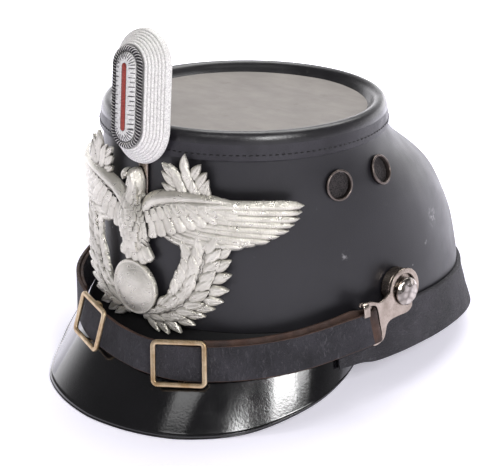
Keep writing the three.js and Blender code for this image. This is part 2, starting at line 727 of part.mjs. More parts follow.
function wreathBranch() {
  const pitch = LEAVES.end / LEAVES.rows;
  const rows = Array.from({ length: LEAVES.rows }, (_, i) => i * pitch);
  return skin(rows.flatMap((at) => [branchRing(at, LEAVES.notch), branchRing(at + LEAVES.tip * pitch, 1)]));
}

// One wing: a sheet with a ridge for each feather, whose ends step back, and an arm along its upper edge
function wing() {
  const roots = WING_FEATHERS.map(({ root }) => new THREE.Vector2(WING_ROOT, root));
  const tips = WING_FEATHERS.map(({ across, up }) => new THREE.Vector2(across, up));
  const edge = new THREE.Vector2(0, WING_SHEET.margin);
  const lines = roots.flatMap((root, i) => {
    const ridge = { root, tip: tips[i], reach: 1, out: WING_SHEET.ridge };
    const below = roots[i + 1] ?? root.clone().sub(edge.clone().multiplyScalar(2));
    const belowTip = tips[i + 1] ?? tips[i].clone().sub(edge.clone().multiplyScalar(2));
    const valley = { root: root.clone().lerp(below, 0.5), tip: tips[i].clone().lerp(belowTip, 0.5) };
    return [ridge, { ...valley, reach: WING_SHEET.notch, out: WING_SHEET.valley }];
  });
  lines.unshift({
    root: roots[0].clone().add(edge),
    tip: tips[0].clone().add(edge),
    reach: WING_SHEET.notch,
    out: WING_SHEET.valley,
  });
  const rings = lines.map(({ root, tip, reach, out }) => {
    const flat = steps(0, reach, WING_SHEET.steps).map((at) => root.clone().lerp(tip, at));
    const top = flat.map(({ x, y }) => platePoint(x, y, out));
    const bottom = flat.map(({ x, y }) => platePoint(x, y, WING_SHEET.back));
    return [...top, ...bottom.reverse()];
  });
  return [skin(rings), blade(WING_ARM, ROUNDED)];
}

// Bird's trunk, head and tail
function birdBody() {
  const feather = (across, up, i) => {
    const path = [[0, TAIL.root], [across / 2, (TAIL.root + up) / 2], [across, up]];
    return blade({ ...TAIL, path, base: TAIL.base + TAIL.lap * i }, RIDGED);
  };
  const tail = TAIL_FEATHERS.flatMap(({ across, up }, i) => {
    const sides = across === 0 ? [1] : [1, -1];
    return sides.map((side) => feather(side * across, up, i));
  });
  return [blade(TRUNK, ROUNDED), blade(HEAD, ROUNDED), blade(BEAK, RIDGED), ...tail];
}

// Round form on the plate, built from rings by radius and height off the plate
function plateRound(across, up, sides, profile) {
  const turns = steps(0, 2 * Math.PI, sides).slice(0, -1);
  const rimPoint = (turn, radius, out) => {
    return platePoint(across + radius * Math.cos(turn), up + radius * Math.sin(turn), out);
  };
  return skin(profile.map(({ radius, out }) => turns.map((turn) => rimPoint(turn, radius, out))));
}

// Front plate: a spread-winged bird over a leafy wreath, with a plain boss and two posts behind
function plateGeometry() {
  const half = [wreathBranch(), ...wing()];
  const { across, up, radius, sides } = PLATE_POST;
  const foot = 2 * GAP - plateStandoff(across);
  half.push(plateRound(across, up, sides, [{ radius, out: foot }, { radius, out: 1 }]));
  const boss = plateRound(0, BOSS.up, BOSS.sides, BOSS_PROFILE);
  return joined([...half, ...half.map(mirrored), ...birdBody(), boss]);
}

// Racetrack oval in the cockade's own plane
function cockadeRing({ radius, out }) {
  return steps(0, 2 * Math.PI, COCKADE.sides).slice(0, -1).map((turn) => {
    const end = (turn < Math.PI ? 1 : -1) * COCKADE.straight;
    return point(radius * Math.cos(turn), end + radius * Math.sin(turn), out);
  });
}

// Frame of the cockade: leant back over the band, and rolled a little to the wearer's right
function cockadeFrame() {
  const lean = degToRad(COCKADE.lean);
  const across = point(1, 0, 0);
  const upward = point(0, Math.sin(lean), Math.cos(lean));
  const rise = COCKADE.up - (BAND_FOOT - COCKADE.below);
  const middle = point(COCKADE.across, -COCKADE.front + rise * Math.tan(lean), COCKADE.up);
  const frame = new THREE.Matrix4().makeBasis(across, upward, across.clone().cross(upward));
  return frame.setPosition(middle).multiply(new THREE.Matrix4().makeRotationZ(degToRad(COCKADE.roll)));
}

// Prong behind the cockade, bent back under the band to slip between the plate and the crown
function prongGeometry() {
  const bandFace = crownAt(BAND_FOOT).front + BAND_THICKNESS + GAP;
  const wallFace = (height) => crownAt(height).front + GAP;
  const route = [
    { back: wallFace(PRONG.foot), height: PRONG.foot },
    { back: wallFace(PRONG.bend), height: PRONG.bend },
    { back: bandFace + 2 * GAP, height: BAND_FOOT - GAP },
    { back: bandFace + 2 * GAP, height: PRONG.top },
  ];
  const [left, right] = [-1, 1].map((side) => COCKADE.across + side * PRONG.width / 2);
  return skin(route.map(({ back, height }) => [
    point(left, -back, height),
    point(right, -back, height),
    point(right, -back - PRONG.thickness, height),
    point(left, -back - PRONG.thickness, height),
  ]));
}

function cockadeGeometry() {
  const oval = skin(COCKADE_PROFILE.map(cockadeRing)).applyMatrix4(cockadeFrame());
  return joined([oval, prongGeometry()]);
}

// Cord ring laid in the cockade's groove
function cordGeometry() {
  const ovals = CORD_SECTION.map(cockadeRing);
  const rings = ovals[0].map((_, i) => ovals.map((oval) => oval[i]));
  return skin(rings, true).applyMatrix4(cockadeFrame());
}

function slitGeometry() {
  const { radius, from, to } = SLIT;
  return skin([from, to].map((out) => cockadeRing({ radius, out }))).applyMatrix4(cockadeFrame());
}

// A piece on the wearer's left and its mirror on the right
function addPair(name, geometry, material) {
  addPiece(`${name}_left`, geometry, material);
  addPiece(`${name}_right`, mirrored(geometry), material);
}

addPiece("crown", ventedCrown(), MATERIALS.crown);
addPiece("crown_top", topGeometry(), MATERIALS.top);
addPiece("front_peak", peakGeometry(), MATERIALS.patent);
addPiece("neck_guard", neckGeometry(), MATERIALS.leather);
addPiece("chin_strap", strapGeometry(), MATERIALS.leather);
BUCKLES.forEach((place) => addPiece(`strap_buckle_${place.name}`, buckleGeometry(place), MATERIALS.brass));
addPair("strap_claw", clawGeometry(), MATERIALS.nickel);
addPair("side_stud", studGeometry(), MATERIALS.nickel);
VENTS.forEach((place) => {
  addPair(`vent_rim_${place.name}`, ventRimGeometry(place), MATERIALS.nickel);
  addPair(`vent_gauze_${place.name}`, ventGauzeGeometry(place), MATERIALS.gauze);
});
addPiece("front_plate", plateGeometry(), MATERIALS.silver);
addPiece("cockade_body", cockadeGeometry(), MATERIALS.thread);
addPiece("cockade_cord", cordGeometry(), MATERIALS.cord);
addPiece("cockade_slit", slitGeometry(), MATERIALS.red);

// The origin is under the middle of the hat's box, on the table
const extent = new THREE.Box3().setFromObject(group);
group.position.y = -(extent.min.y + extent.max.y) / 2;

export default group;
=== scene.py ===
import math

import bmesh
import bpy
import numpy as np
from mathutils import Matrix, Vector, noise


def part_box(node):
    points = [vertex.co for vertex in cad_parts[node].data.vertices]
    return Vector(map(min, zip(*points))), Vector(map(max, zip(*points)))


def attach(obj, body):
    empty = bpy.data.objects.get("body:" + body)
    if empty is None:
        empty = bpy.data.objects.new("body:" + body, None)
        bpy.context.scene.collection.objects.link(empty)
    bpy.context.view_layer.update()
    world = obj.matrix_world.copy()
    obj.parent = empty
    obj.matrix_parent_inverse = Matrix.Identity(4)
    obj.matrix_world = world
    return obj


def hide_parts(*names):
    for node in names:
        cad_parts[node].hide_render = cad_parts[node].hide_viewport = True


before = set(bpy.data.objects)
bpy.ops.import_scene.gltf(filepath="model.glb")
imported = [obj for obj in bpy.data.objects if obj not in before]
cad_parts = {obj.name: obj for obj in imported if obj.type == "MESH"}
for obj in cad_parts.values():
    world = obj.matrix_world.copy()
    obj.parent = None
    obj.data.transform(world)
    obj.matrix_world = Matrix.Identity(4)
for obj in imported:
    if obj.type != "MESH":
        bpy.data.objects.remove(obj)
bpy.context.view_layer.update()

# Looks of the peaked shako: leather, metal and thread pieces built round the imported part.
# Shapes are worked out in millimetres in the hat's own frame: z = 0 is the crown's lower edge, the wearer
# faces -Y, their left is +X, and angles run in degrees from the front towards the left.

CROWN_HEIGHT = 90
crown_low, crown_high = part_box("crown")
HAT_ORIGIN = np.array([
    (crown_low.x + crown_high.x) / 2, (crown_low.y + crown_high.y) / 2, crown_high.z - CROWN_HEIGHT / 1000,
])
BASE_HEIGHT = HAT_ORIGIN[2] * 1000


def table(names, *entries):
    """Short table with named columns."""
    return dict(zip(names.split(), np.array(entries, float).T))


def rows(columns):
    """Rows of a table, without their names."""
    return np.stack(list(columns.values()), axis=-1)


# Driving sizes, as in the part
GAP = 0.35
CROWN_WALL = 2.5
LEATHER = 2.2
CROWN = table(
    "height front rear half",
    (0, 105.0, 105.0, 87.5),
    (8, 104.7, 103.2, 86.7),
    (25, 104.0, 98.0, 84.6),
    (43, 103.3, 87.6, 81.4),
    (52, 102.8, 80.2, 79.6),
    (60, 102.5, 70.2, 77.6),
    (66, 102.3, 61.0, 75.9),
    (72, 102.1, 52.0, 73.9),
    (80, 101.8, 43.4, 71.6),
    (85, 101.6, 39.8, 70.6),
    (CROWN_HEIGHT, 101.4, 39.2, 70.2),
)
CROWN_TAIL = {"drop": 11, "from": 95, "to": 135}
BAND_THICKNESS = 1.5
BAND_FOOT = 84.4
TOP_UNDERSIDE = 90.4
LID_EDGE = 10.6
LID_CORE = 70
LID_HEIGHT = 92.35
LID_WAVE = 0.25
RIM = table(
    "inset height",
    (11.0, 92.4),
    (9.4, 94.0),
    (7.4, 96.6),
    (5.2, 97.4),
    (3.0, 96.8),
    (1.5, 94.6),
    (0.9, 91.6),
)
PEAK_END = 70
PEAK = table(
    "angle reach drop",
    (0, 36.5, 42.0),
    (21, 33.6, 42.0),
    (30, 29.0, 42.0),
    (38, 24.6, 40.8),
    (46, 21.2, 36.5),
    (55, 16.6, 30.5),
    (63, 8.6, 25.0),
    (67, 3.4, 22.0),
    (70, 1.0, 19.0),
)
PEAK_BULGE = 0.2
PEAK_BEAD = {"at": 0.962, "half": 0.011, "rise": 0.45}
PEAK_EDGE = ((0.1, 0.5), (0.5, 0.1), (1.5, 0.0))
PEAK_FLANGE_HEIGHT = 7
PEAK_RIDGE = (0.0285, 0.033)
PEAK_FLANGE_THICKNESS = 1.6
NECK_START = 61
NECK_BOW = 1.3
NECK = table(
    "angle lap flare drop",
    (61, 3.2, 8.4, 18.4),
    (65, 3.2, 6.4, 18.9),
    (68.5, 3.2, 4.6, 19.8),
    (73, 3.2, 3.2, 21.8),
    (80, 3.2, 2.8, 22.0),
    (92, 2.8, 2.8, 22.2),
    (110, 0.6, 4.4, 24.0),
    (130, -3.2, 7.0, 29.0),
    (150, -4.6, 8.8, 36.4),
    (168, -5.0, 9.6, 42.0),
    (180, -5.0, 9.6, 42.0),
)
STRAP_WIDTH = 17.0
STRAP_THICKNESS = 1.7
STRAP = table(
    "angle offset height lean",
    (-74, 9.6, 2.1, 4),
    (-67, 9.3, -0.8, 5),
    (-62, 10.4, -2.7, 0),
    (-56, 10.8, -4.9, -4),
    (-44, 11.2, -5.2, -5),
    (-32, 11.8, -4.6, 2),
    (-22, 12.6, -5.0, 10),
    (-12, 14.0, -6.2, 15),
    (0, 15.4, -8.6, 10),
    (10, 16.2, -9.6, 12),
    (20, 16.0, -10.4, 16),
    (30, 13.6, -9.9, 15),
    (40, 11.1, -9.0, 14),
    (50, 9.6, -7.0, 12),
    (56, 9.3, -4.9, 10),
    (62, 9.1, -2.7, 8),
    (74, 9.6, 2.1, 4),
)
STRAP_FOLD = 70.4
STRAP_RISE = {"left": 2.4, "right": -0.8}
STRAP_TAIL = 26
STRAP_PARTING = {"from": 3, "to": 10}
STRAP_SPREAD = {"from": 60, "rise_from": 65}
FOLD_RADIUS = 2.1


def curve(keys, values):
    """Smooth lookup through one column: cubic, with each slope taken from the neighbouring rows."""
    steps = np.diff(values) / np.diff(keys)
    slopes = np.empty(len(keys))
    slopes[1:-1] = (values[2:] - values[:-2]) / (keys[2:] - keys[:-2])
    slopes[0] = 1.5 * steps[0] - 0.5 * slopes[1]
    slopes[-1] = 1.5 * steps[-1] - 0.5 * slopes[-2]

    def at(x):
        x = np.clip(x, keys[0], keys[-1])
        i = np.clip(np.searchsorted(keys, x, side="right") - 1, 0, len(keys) - 2)
        span = keys[i + 1] - keys[i]
        t = (x - keys[i]) / span
        ends = (2 * t**3 - 3 * t**2 + 1) * values[i] + (3 * t**2 - 2 * t**3) * values[i + 1]
        return ends + span * ((t**3 - 2 * t**2 + t) * slopes[i] + (t**3 - t**2) * slopes[i + 1])

    return at


def lookup(columns, key):
    curves = {name: curve(columns[key], values) for name, values in columns.items() if name != key}
    return lambda at: {name: column(at) for name, column in curves.items()}


crown_at = lookup(CROWN, "height")
peak_at = lookup(PEAK, "angle")
neck_at = lookup(NECK, "angle")
strap_at = lookup(STRAP, "angle")


def unit(vectors):
    return vectors / np.linalg.norm(vectors, axis=-1, keepdims=True)


def run_length(points):
    """Length along a line of points, at each of them."""
    return np.concatenate([[0], np.cumsum(np.linalg.norm(np.diff(points, axis=0), axis=1))])


def smooth_path(points, count):
    """Evenly spaced points on a smooth curve through the given ones."""
    points = np.array(points, float)
    length = run_length(points)
    at = np.linspace(0, length[-1], count)
    return np.stack([curve(length, column)(at) for column in points.T], axis=-1)


def oval_point(section, angle, height, offset):
    turn = np.radians(angle)
    middle = (section["rear"] - section["front"]) / 2
    length = (section["rear"] + section["front"]) / 2 + offset
    across = (section["half"] + offset) * np.sin(turn)
    return np.stack(np.broadcast_arrays(across, middle - length * np.cos(turn), height), axis=-1)


def crown_point(angle, height, offset=0.0):
    return oval_point(crown_at(height), angle, height, offset)


def base_point(angle, offset, height):
    return oval_point(crown_at(0.0), angle, height, offset)


def around(count):
    """Angles of a full turn, without the repeated last one."""
    return np.arange(count) * 360.0 / count


def smoothstep(x, low, high):
    t = np.clip((x - low) / (high - low), 0, 1)
    return t * t * (3 - 2 * t)


def loft(rings, loop=False):
    """Closed solid through closed rings of points: the run closes on itself, or its ends are capped."""
    rings = np.asarray(rings, float)
    count, size = rings.shape[:2]
    spans = count if loop else count - 1
    i, j = np.meshgrid(np.arange(spans), np.arange(size), indexing="ij")
    here, there = i * size, (i + 1) % count * size
    beside = (j + 1) % size
    quads = np.stack([here + j, there + j, there + beside, here + beside], axis=-1)
    faces = quads.reshape(-1, 4).tolist()
    if not loop:
        faces += [list(range(size)), list(range((count - 1) * size, count * size))]
    return rings.reshape(-1, 3), faces


def merged(shapes):
    """Several closed solids as one mesh."""
    points, faces, start = [], [], 0
    for shape_points, shape_faces in shapes:
        points.append(np.asarray(shape_points))
        faces += [[start + corner for corner in face] for face in shape_faces]
        start += len(shape_points)
    return np.concatenate(points), faces


def hat_mesh(name, shape):
    """Mesh of a shape in the hat's frame, with its faces turned outward."""
    points, faces = shape
    mesh = bpy.data.meshes.new(name)
    mesh.from_pydata((np.asarray(points) / 1000 + HAT_ORIGIN).tolist(), [], faces)
    work = bmesh.new()
    work.from_mesh(mesh)
    bmesh.ops.recalc_face_normals(work, faces=work.faces)
    work.to_mesh(mesh)
    work.free()
    return mesh


def put(name, data):
    """New object in the scene."""
    made = bpy.data.objects.new(name, data)
    bpy.context.scene.collection.objects.link(made)
    return made


def add_piece(name, shape, materials, slot, nodes, sharp=40, face_slots=None):
    """Piece of the hat from points in the hat's frame, standing for CAD nodes."""
    mesh = hat_mesh(name, shape)
    for material in materials:
        mesh.materials.append(material)
    if face_slots is not None:
        mesh.polygons.foreach_set("material_index", face_slots)
    mesh.shade_smooth()
    mesh.set_sharp_from_angle(angle=math.radians(sharp))
    piece = put(name, mesh)
    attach(piece, "root")
    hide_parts(*nodes)
    return piece


def wavy(points, scale, amount):
    """Smooth uneven amounts at points in millimetres, from -amount to amount."""
    flat = np.asarray(points).reshape(-1, 3) * scale
    values = [noise.fractal(Vector(point), 1.0, 2.0, 3) for point in flat]
    return amount * np.array(values).reshape(np.shape(points)[:-1])


def way_to(azimuth, elevation):
    """Direction from the hat, by degrees round from the front to the wearer's left and up."""
    turn, rise = math.radians(azimuth), math.radians(elevation)
    return Vector((math.sin(turn) * math.cos(rise), -math.cos(turn) * math.cos(rise), math.sin(rise)))


# Studio values that the materials also use

CAMERA = {"azimuth": 41.1, "elevation": 22.26, "distance": 0.700, "lens": 92.48}
BACK_WAY = way_to(215, 0)
FLOOR_GLOW = {"between": (0.08, 0.4), "near": 0.42, "far": 1.7}
BACKDROP_GLOW = {"front": 0.4, "back": 3.0}
CEILING_GLOW = 0.15
HORIZON_BEHIND = (0.1, 0.95)
HORIZON_RISE = (0.06, 0.4)
STUDIO_COLOUR = (0.98, 0.97, 1.0, 1)

# Materials


def srgb(red, green, blue):
    """Linear colour from screen values of 0 to 255."""
    parts = np.array([red, green, blue]) / 255
    linear = np.where(parts <= 0.04045, parts / 12.92, ((parts + 0.055) / 1.055) ** 2.4)
    return (*linear.tolist(), 1.0)


class Nodes:
    """Node tree under construction; sockets are named as in the node editor."""

    def __init__(self, owner):
        owner.use_nodes = True
        self.tree = owner.node_tree

    def set(self, node, inputs):
        for name, value in inputs.items():
            if isinstance(value, bpy.types.NodeSocket):
                self.tree.links.new(value, node.inputs[name])
            else:
                node.inputs[name].default_value = value

    def add(self, kind, inputs=None, **options):
        node = self.tree.nodes.new(kind)
        for name, value in options.items():
            setattr(node, name, value)
        self.set(node, inputs or {})
        return node

    def slide(self, value, low, high, start=0.0, end=1.0):
        """Smooth change from one amount to another as a value goes from low to high."""
        inputs = {"Value": value, "From Min": low, "From Max": high, "To Min": start, "To Max": end}
        return self.add("ShaderNodeMapRange", inputs, interpolation_type="SMOOTHSTEP").outputs["Result"]

    def height(self, place):
        return self.add("ShaderNodeSeparateXYZ", {"Vector": place}).outputs["Z"]

    def backward(self, place):
        """How far a place lies towards the backdrop."""
        inputs = {0: place, 1: BACK_WAY}
        return self.add("ShaderNodeVectorMath", inputs, operation="DOT_PRODUCT").outputs["Value"]


class Shader(Nodes):
    """Node material under construction."""

    def __init__(self, name, settings):
        self.material = bpy.data.materials.new(name)
        super().__init__(self.material)
        self.surface = self.tree.nodes["Principled BSDF"]
        self.place = self.add("ShaderNodeTexCoord").outputs["Object"]
        self.set(self.surface, settings)

    def stretched(self, scale, turn=0.0):
        inputs = {"Vector": self.place, "Scale": scale, "Rotation": (0, 0, math.radians(turn))}
        return self.add("ShaderNodeMapping", inputs).outputs["Vector"]

    def near(self, centre, radius):
        """1 at a point given in the hat's frame, and 0 beyond a radius in millimetres."""
        inputs = {0: self.place, 1: (np.asarray(centre) / 1000 + HAT_ORIGIN).tolist()}
        distance = self.add("ShaderNodeVectorMath", inputs, operation="DISTANCE").outputs["Value"]
        return self.slide(distance, 0.3 * radius / 1000, radius / 1000, 1.0, 0.0)

    def noise(self, scale, detail, roughness=0.55, place=None, distortion=0.0):
        inputs = {
            "Vector": place or self.place, "Scale": scale, "Detail": detail, "Roughness": roughness,
            "Distortion": distortion,
        }
        return self.add("ShaderNodeTexNoise", inputs).outputs["Fac"]

    def cells(self, scale, place=None):
        inputs = {"Vector": place or self.place, "Scale": scale}
        return self.add("ShaderNodeTexVoronoi", inputs).outputs["Distance"]

    def ramp(self, factor, *stops):
        """Change between two stops, each a place on the factor and a colour or an amount."""
        node = self.add("ShaderNodeValToRGB", {"Fac": factor})
        for element, (at, colour) in zip(node.color_ramp.elements, stops):
            element.position = at
            element.color = colour if isinstance(colour, tuple) else (colour, colour, colour, 1.0)
        return node.outputs["Color"]

    def blotches(self, scale, detail, low, high):
        """Cloudy change between two colours or amounts."""
        return self.ramp(self.noise(scale, detail), (0.3, low), (0.7, high))

    def math(self, operation, a, b):
        return self.add("ShaderNodeMath", {0: a, 1: b}, operation=operation).outputs["Value"]

    def mix(self, factor, a, b):
        node = self.add("ShaderNodeMix", {0: factor, 6: a, 7: b}, data_type="RGBA")
        return node.outputs[2]

    def crevice(self, distance):
        """How open the surface is: 1 on flat and raised places, less in hollows."""
        inputs = {"Distance": distance}
        return self.add("ShaderNodeAmbientOcclusion", inputs, samples=8).outputs["AO"]

    def finish(self, colour, roughness, height=None, depth=0.0, strength=1.0):
        self.set(self.surface, {"Base Color": colour, "Roughness": roughness})
        if height is not None:
            bump = self.add("ShaderNodeBump", {"Height": height, "Distance": depth, "Strength": strength})
            self.set(self.surface, {"Normal": bump.outputs["Normal"], "Coat Normal": bump.outputs["Normal"]})
        return self.material


def crown_material():
    shader = Shader("crown_satin", {"Specular IOR Level": 0.5})
    tone = shader.blotches(14, 4, srgb(24, 23, 27), srgb(36, 35, 39))
    dust = shader.ramp(shader.noise(240, 6, 0.7), (0.66, 0.0), (0.8, 0.3))
    patch = shader.ramp(shader.noise(30, 2), (0.5, 0.0), (0.66, 1.0))
    specks = shader.ramp(shader.cells(130), (0.03, 1.0), (0.09, 0.0))
    rare = shader.ramp(shader.noise(42, 1), (0.62, 0.0), (0.68, 0.5))
    marks = shader.math("MULTIPLY", specks, rare)
    flecks = shader.ramp(shader.noise(420, 4, 0.65), (0.48, 0.0), (0.64, 0.4))
    for angle, height, size in rows(SCUFFS):
        scuff = shader.math("MULTIPLY", shader.near(crown_point(angle, height), size), flecks)
        marks = shader.math("MAXIMUM", marks, scuff)
    dusted = shader.mix(shader.math("MULTIPLY", dust, patch), tone, srgb(120, 118, 122))
    colour = shader.mix(marks, dusted, srgb(190, 188, 189))
    rough = shader.blotches(55, 4, 0.34, 0.46)
    return shader.finish(colour, rough, shader.noise(1500, 4), 0.00006)


def lid_material():
    shader = Shader("lid_leather", {"Specular IOR Level": 0.35})
    along = shader.stretched((0.3, 1.0, 1.0), -CAMERA["azimuth"])
    streaks = shader.math("MULTIPLY", shader.noise(170, 5, 0.65, along), 0.5)
    cloud = shader.math("ADD", shader.noise(30, 5, 0.65), streaks)
    tone = shader.ramp(cloud, (0.55, srgb(141, 135, 131)), (0.95, srgb(163, 157, 152)))
    stains = shader.ramp(shader.noise(75, 5, 0.7), (0.6, 0.0), (0.72, 0.35))
    colour = shader.mix(stains, tone, srgb(116, 109, 104))
    rough = shader.ramp(cloud, (0.5, 0.55), (1.0, 0.7))
    return shader.finish(colour, rough, shader.noise(900, 5), 0.00008)


def rim_material():
    shader = Shader("rim_gloss", {"Coat Weight": 0.4, "Coat Roughness": 0.24})
    tone = shader.ramp(shader.noise(60, 4), (0.35, srgb(16, 15, 18)), (0.7, srgb(34, 32, 36)))
    worn = shader.ramp(shader.noise(190, 5, 0.7), (0.6, 0.0), (0.74, 0.35))
    colour = shader.mix(worn, tone, srgb(92, 88, 88))
    rough = shader.blotches(90, 3, 0.3, 0.44)
    return shader.finish(colour, rough, shader.noise(700, 4), 0.00008)


def band_material():
    shader = Shader("band_leather", {})
    tone = shader.blotches(70, 4, srgb(30, 28, 33), srgb(48, 46, 52))
    rough = shader.blotches(120, 3, 0.36, 0.5)
    return shader.finish(tone, rough, shader.noise(1300, 4), 0.0001)


def patent_material():
    shader = Shader("patent_leather", {"Coat Roughness": 0.1, "Specular IOR Level": 0.25})
    tone = shader.ramp(shader.noise(40, 4), (0.35, srgb(9, 9, 11)), (0.7, srgb(17, 16, 19)))
    drawn = shader.stretched((1.0, 1.0, 0.4))
    scuff = shader.ramp(shader.noise(260, 6, 0.72, drawn), (0.68, 0.0), (0.8, 0.3))
    colour = shader.mix(scuff, tone, srgb(122, 98, 70))
    pebbles = shader.math("MULTIPLY", shader.noise(900, 4), 0.2)
    ripple = shader.math("ADD", shader.noise(28, 2), pebbles)
    upper = shader.slide(shader.height(shader.place), *PEAK_RIDGE)
    folds = shader.noise(420, 5, 0.7, distortion=1.0)
    crinkle = shader.math("MULTIPLY", folds, shader.math("MULTIPLY", upper, 1.2))
    polish = shader.ramp(shader.noise(150, 4), (0.35, 0.12), (0.75, 0.24))
    rough = shader.mix(upper, polish, (0.6, 0.6, 0.6, 1.0))
    shader.set(shader.surface, {"Coat Weight": shader.math("SUBTRACT", 1.0, upper)})
    return shader.finish(colour, rough, shader.math("ADD", ripple, crinkle), 0.0006, 0.24)


def leather_material(name, dark, light, wrinkle):
    shader = Shader(name, {"Specular IOR Level": 0.4})
    tone = shader.ramp(shader.noise(48, 5), (0.3, dark), (0.72, light))
    creases = shader.noise(260, 6, 0.7, shader.stretched(wrinkle), 1.6)
    rub = shader.ramp(creases, (0.54, 0.0), (0.7, 0.5))
    colour = shader.mix(rub, tone, srgb(108, 105, 110))
    grain = shader.ramp(shader.cells(900), (0.1, 0.0), (0.5, 1.0))
    height = shader.math("ADD", creases, shader.math("MULTIPLY", grain, 0.15))
    return shader.finish(colour, shader.ramp(creases, (0.3, 0.55), (0.7, 0.75)), height, 0.0012)


def flesh_material():
    shader = Shader("strap_flesh", {})
    tone = shader.blotches(110, 5, srgb(40, 27, 23), srgb(82, 58, 47))
    rough = shader.blotches(300, 3, 0.6, 0.85)
    return shader.finish(tone, rough, shader.noise(1600, 5), 0.0003)


def metal_material(name, bright, dull, grime_and_shade, roughness):
    """Worn metal: dull patches, fine scratches, and grime with painted shade in the hollows."""
    shader = Shader(name, {"Metallic": 1.0})
    tone = shader.ramp(shader.noise(130, 5, 0.65), (0.35, dull), (0.65, bright))
    # Grime with painted shade: the colour darkens where ambient occlusion finds the surface shut in.
    dirt_and_shade = shader.ramp(shader.crevice(0.0022), (0.35, 1.0), (0.85, 0.0))
    colour = shader.mix(dirt_and_shade, tone, grime_and_shade)
    scratches = shader.noise(500, 4, 0.7, shader.stretched((0.3, 2.2, 2.2)))
    rough = shader.blotches(210, 4, roughness, roughness + 0.16)
    return shader.finish(colour, rough, scratches, 0.00006)


def polished_material():
    """Bright metal with a hammered face."""
    shader = Shader("stud_polish", {"Metallic": 1.0})
    facets = shader.cells(330)
    tone = shader.blotches(200, 4, srgb(176, 166, 158), srgb(212, 204, 198))
    # Darker towards the edges of each facet: painted shade between the facets, with some dirt.
    dirt_and_shade = shader.ramp(facets, (0.35, 0.0), (0.75, 0.6))
    colour = shader.mix(dirt_and_shade, tone, srgb(52, 46, 44))
    rough = shader.ramp(facets, (0.2, 0.08), (0.7, 0.2))
    return shader.finish(colour, rough, facets, 0.0005)


def silver_material():
    shader = Shader("plate_silver", {"Metallic": 0.78})
    tone = shader.blotches(90, 5, srgb(204, 200, 189), srgb(238, 234, 223))
    # Painted shade in the relief's hollows, with some dirt: the colour darkens where ambient occlusion finds
    # the surface shut in.
    dirt_and_shade = shader.ramp(shader.crevice(0.002), (0.45, 1.0), (0.88, 0.0))
    colour = shader.mix(dirt_and_shade, tone, srgb(62, 57, 52))
    chasing = shader.math("ADD", shader.cells(1600), shader.math("MULTIPLY", shader.noise(600, 4, 0.7), 0.8))
    rough = shader.blotches(260, 4, 0.24, 0.38)
    return shader.finish(colour, rough, chasing, 0.00022)


def gauze_material():
    shader = Shader("vent_gauze", {"Metallic": 0.4})
    weave = shader.cells(1300)
    colour = shader.ramp(weave, (0.2, srgb(10, 9, 10)), (0.6, srgb(62, 57, 57)))
    return shader.finish(colour, shader.ramp(weave, (0.2, 0.5), (0.6, 0.75)), weave, 0.0004)


def thread_material(name, light, shade, metallic):
    """Woven thread: fine strands with dark between them."""
    shader = Shader(name, {"Metallic": metallic})
    strands = shader.cells(2400, shader.stretched((1.0, 1.0, 0.6)))
    tone = shader.ramp(strands, (0.2, light), (0.8, shade))
    # Painted shade: where ambient occlusion finds the surface shut in, between ribs and strands, the colour
    # is drawn towards a mid grey.
    hollow_shade = shader.ramp(shader.crevice(0.0012), (0.2, 0.75), (0.65, 0.0))
    colour = shader.mix(hollow_shade, tone, srgb(92, 90, 94))
    return shader.finish(colour, shader.ramp(strands, (0.2, 0.45), (0.7, 0.62)), strands, 0.0001)


def floor_material():
    """Pale paper that glows with painted light, faintly near the hat and more strongly beyond it."""
    shader = Shader("floor_paper", {})
    colour = shader.blotches(3, 2, srgb(240, 238, 249), srgb(244, 242, 252))
    beyond = shader.backward(shader.place)
    glow = shader.slide(beyond, *FLOOR_GLOW["between"], FLOOR_GLOW["near"], FLOOR_GLOW["far"])
    shader.set(shader.surface, {"Emission Color": colour, "Emission Strength": glow})
    return shader.finish(colour, shader.blotches(5, 2, 0.7, 0.75))


# Crown, with a hole for each vent


CROWN_AROUND = 240
STUD = {"angle": 82.2, "height": 12.6, "droop": 1.3}
VENTS = table("angle height", (74.3, 68.6), (95.8, 69.6))
SCUFFS = table(
    "angle height size",
    (108.4, 36.0, 6.0),
    (107.2, 33.4, 3.5),
    (99.7, 26.3, 2.0),
    (87.7, 53.8, 1.6),
    (67.5, 33.8, 3.2),
)
VENT_HOLE = 7.05


def wall_frame(angle, height):
    """Origin and axes on the crown's wall: along it to the rear, up it, and straight out of it."""
    rearward = crown_point(angle + 1, height) - crown_point(angle - 1, height)
    upward = crown_point(angle, height + 1) - crown_point(angle, height - 1)
    outward = unit(np.cross(rearward, upward))
    along = unit(rearward)
    return crown_point(angle, height), np.array([along, np.cross(outward, along), outward])


def in_frame(points, frame_of):
    origin, axes = frame_of
    return origin + np.asarray(points) @ axes


def placed(shape, frame_of):
    points, faces = shape
    return in_frame(points, frame_of), faces


def mirrored(shape):
    points, faces = shape
    return np.asarray(points) * [-1, 1, 1], faces


def turned(profile, sides, frame_of):
    """Solid turned about a frame's outward axis, from rows of radius and height."""
    profile = np.asarray(profile, float)
    turn = np.radians(around(sides))
    rings = [
        np.stack([radius * np.cos(turn), radius * np.sin(turn), np.full(sides, out)], axis=-1)
        for radius, out in profile
    ]
    return placed(loft(rings), frame_of)


def crown_shape():
    angles = around(CROWN_AROUND)[:, None]
    tail = smoothstep(np.minimum(angles, 360 - angles), CROWN_TAIL["from"], CROWN_TAIL["to"])
    heights = np.linspace(-CROWN_TAIL["drop"] * tail[:, 0], CROWN_HEIGHT, 65, axis=1)
    outer = crown_point(angles, heights)
    inner = crown_point(angles, heights[:, ::-1], -CROWN_WALL)
    return loft(np.concatenate([outer, inner], axis=1), loop=True)


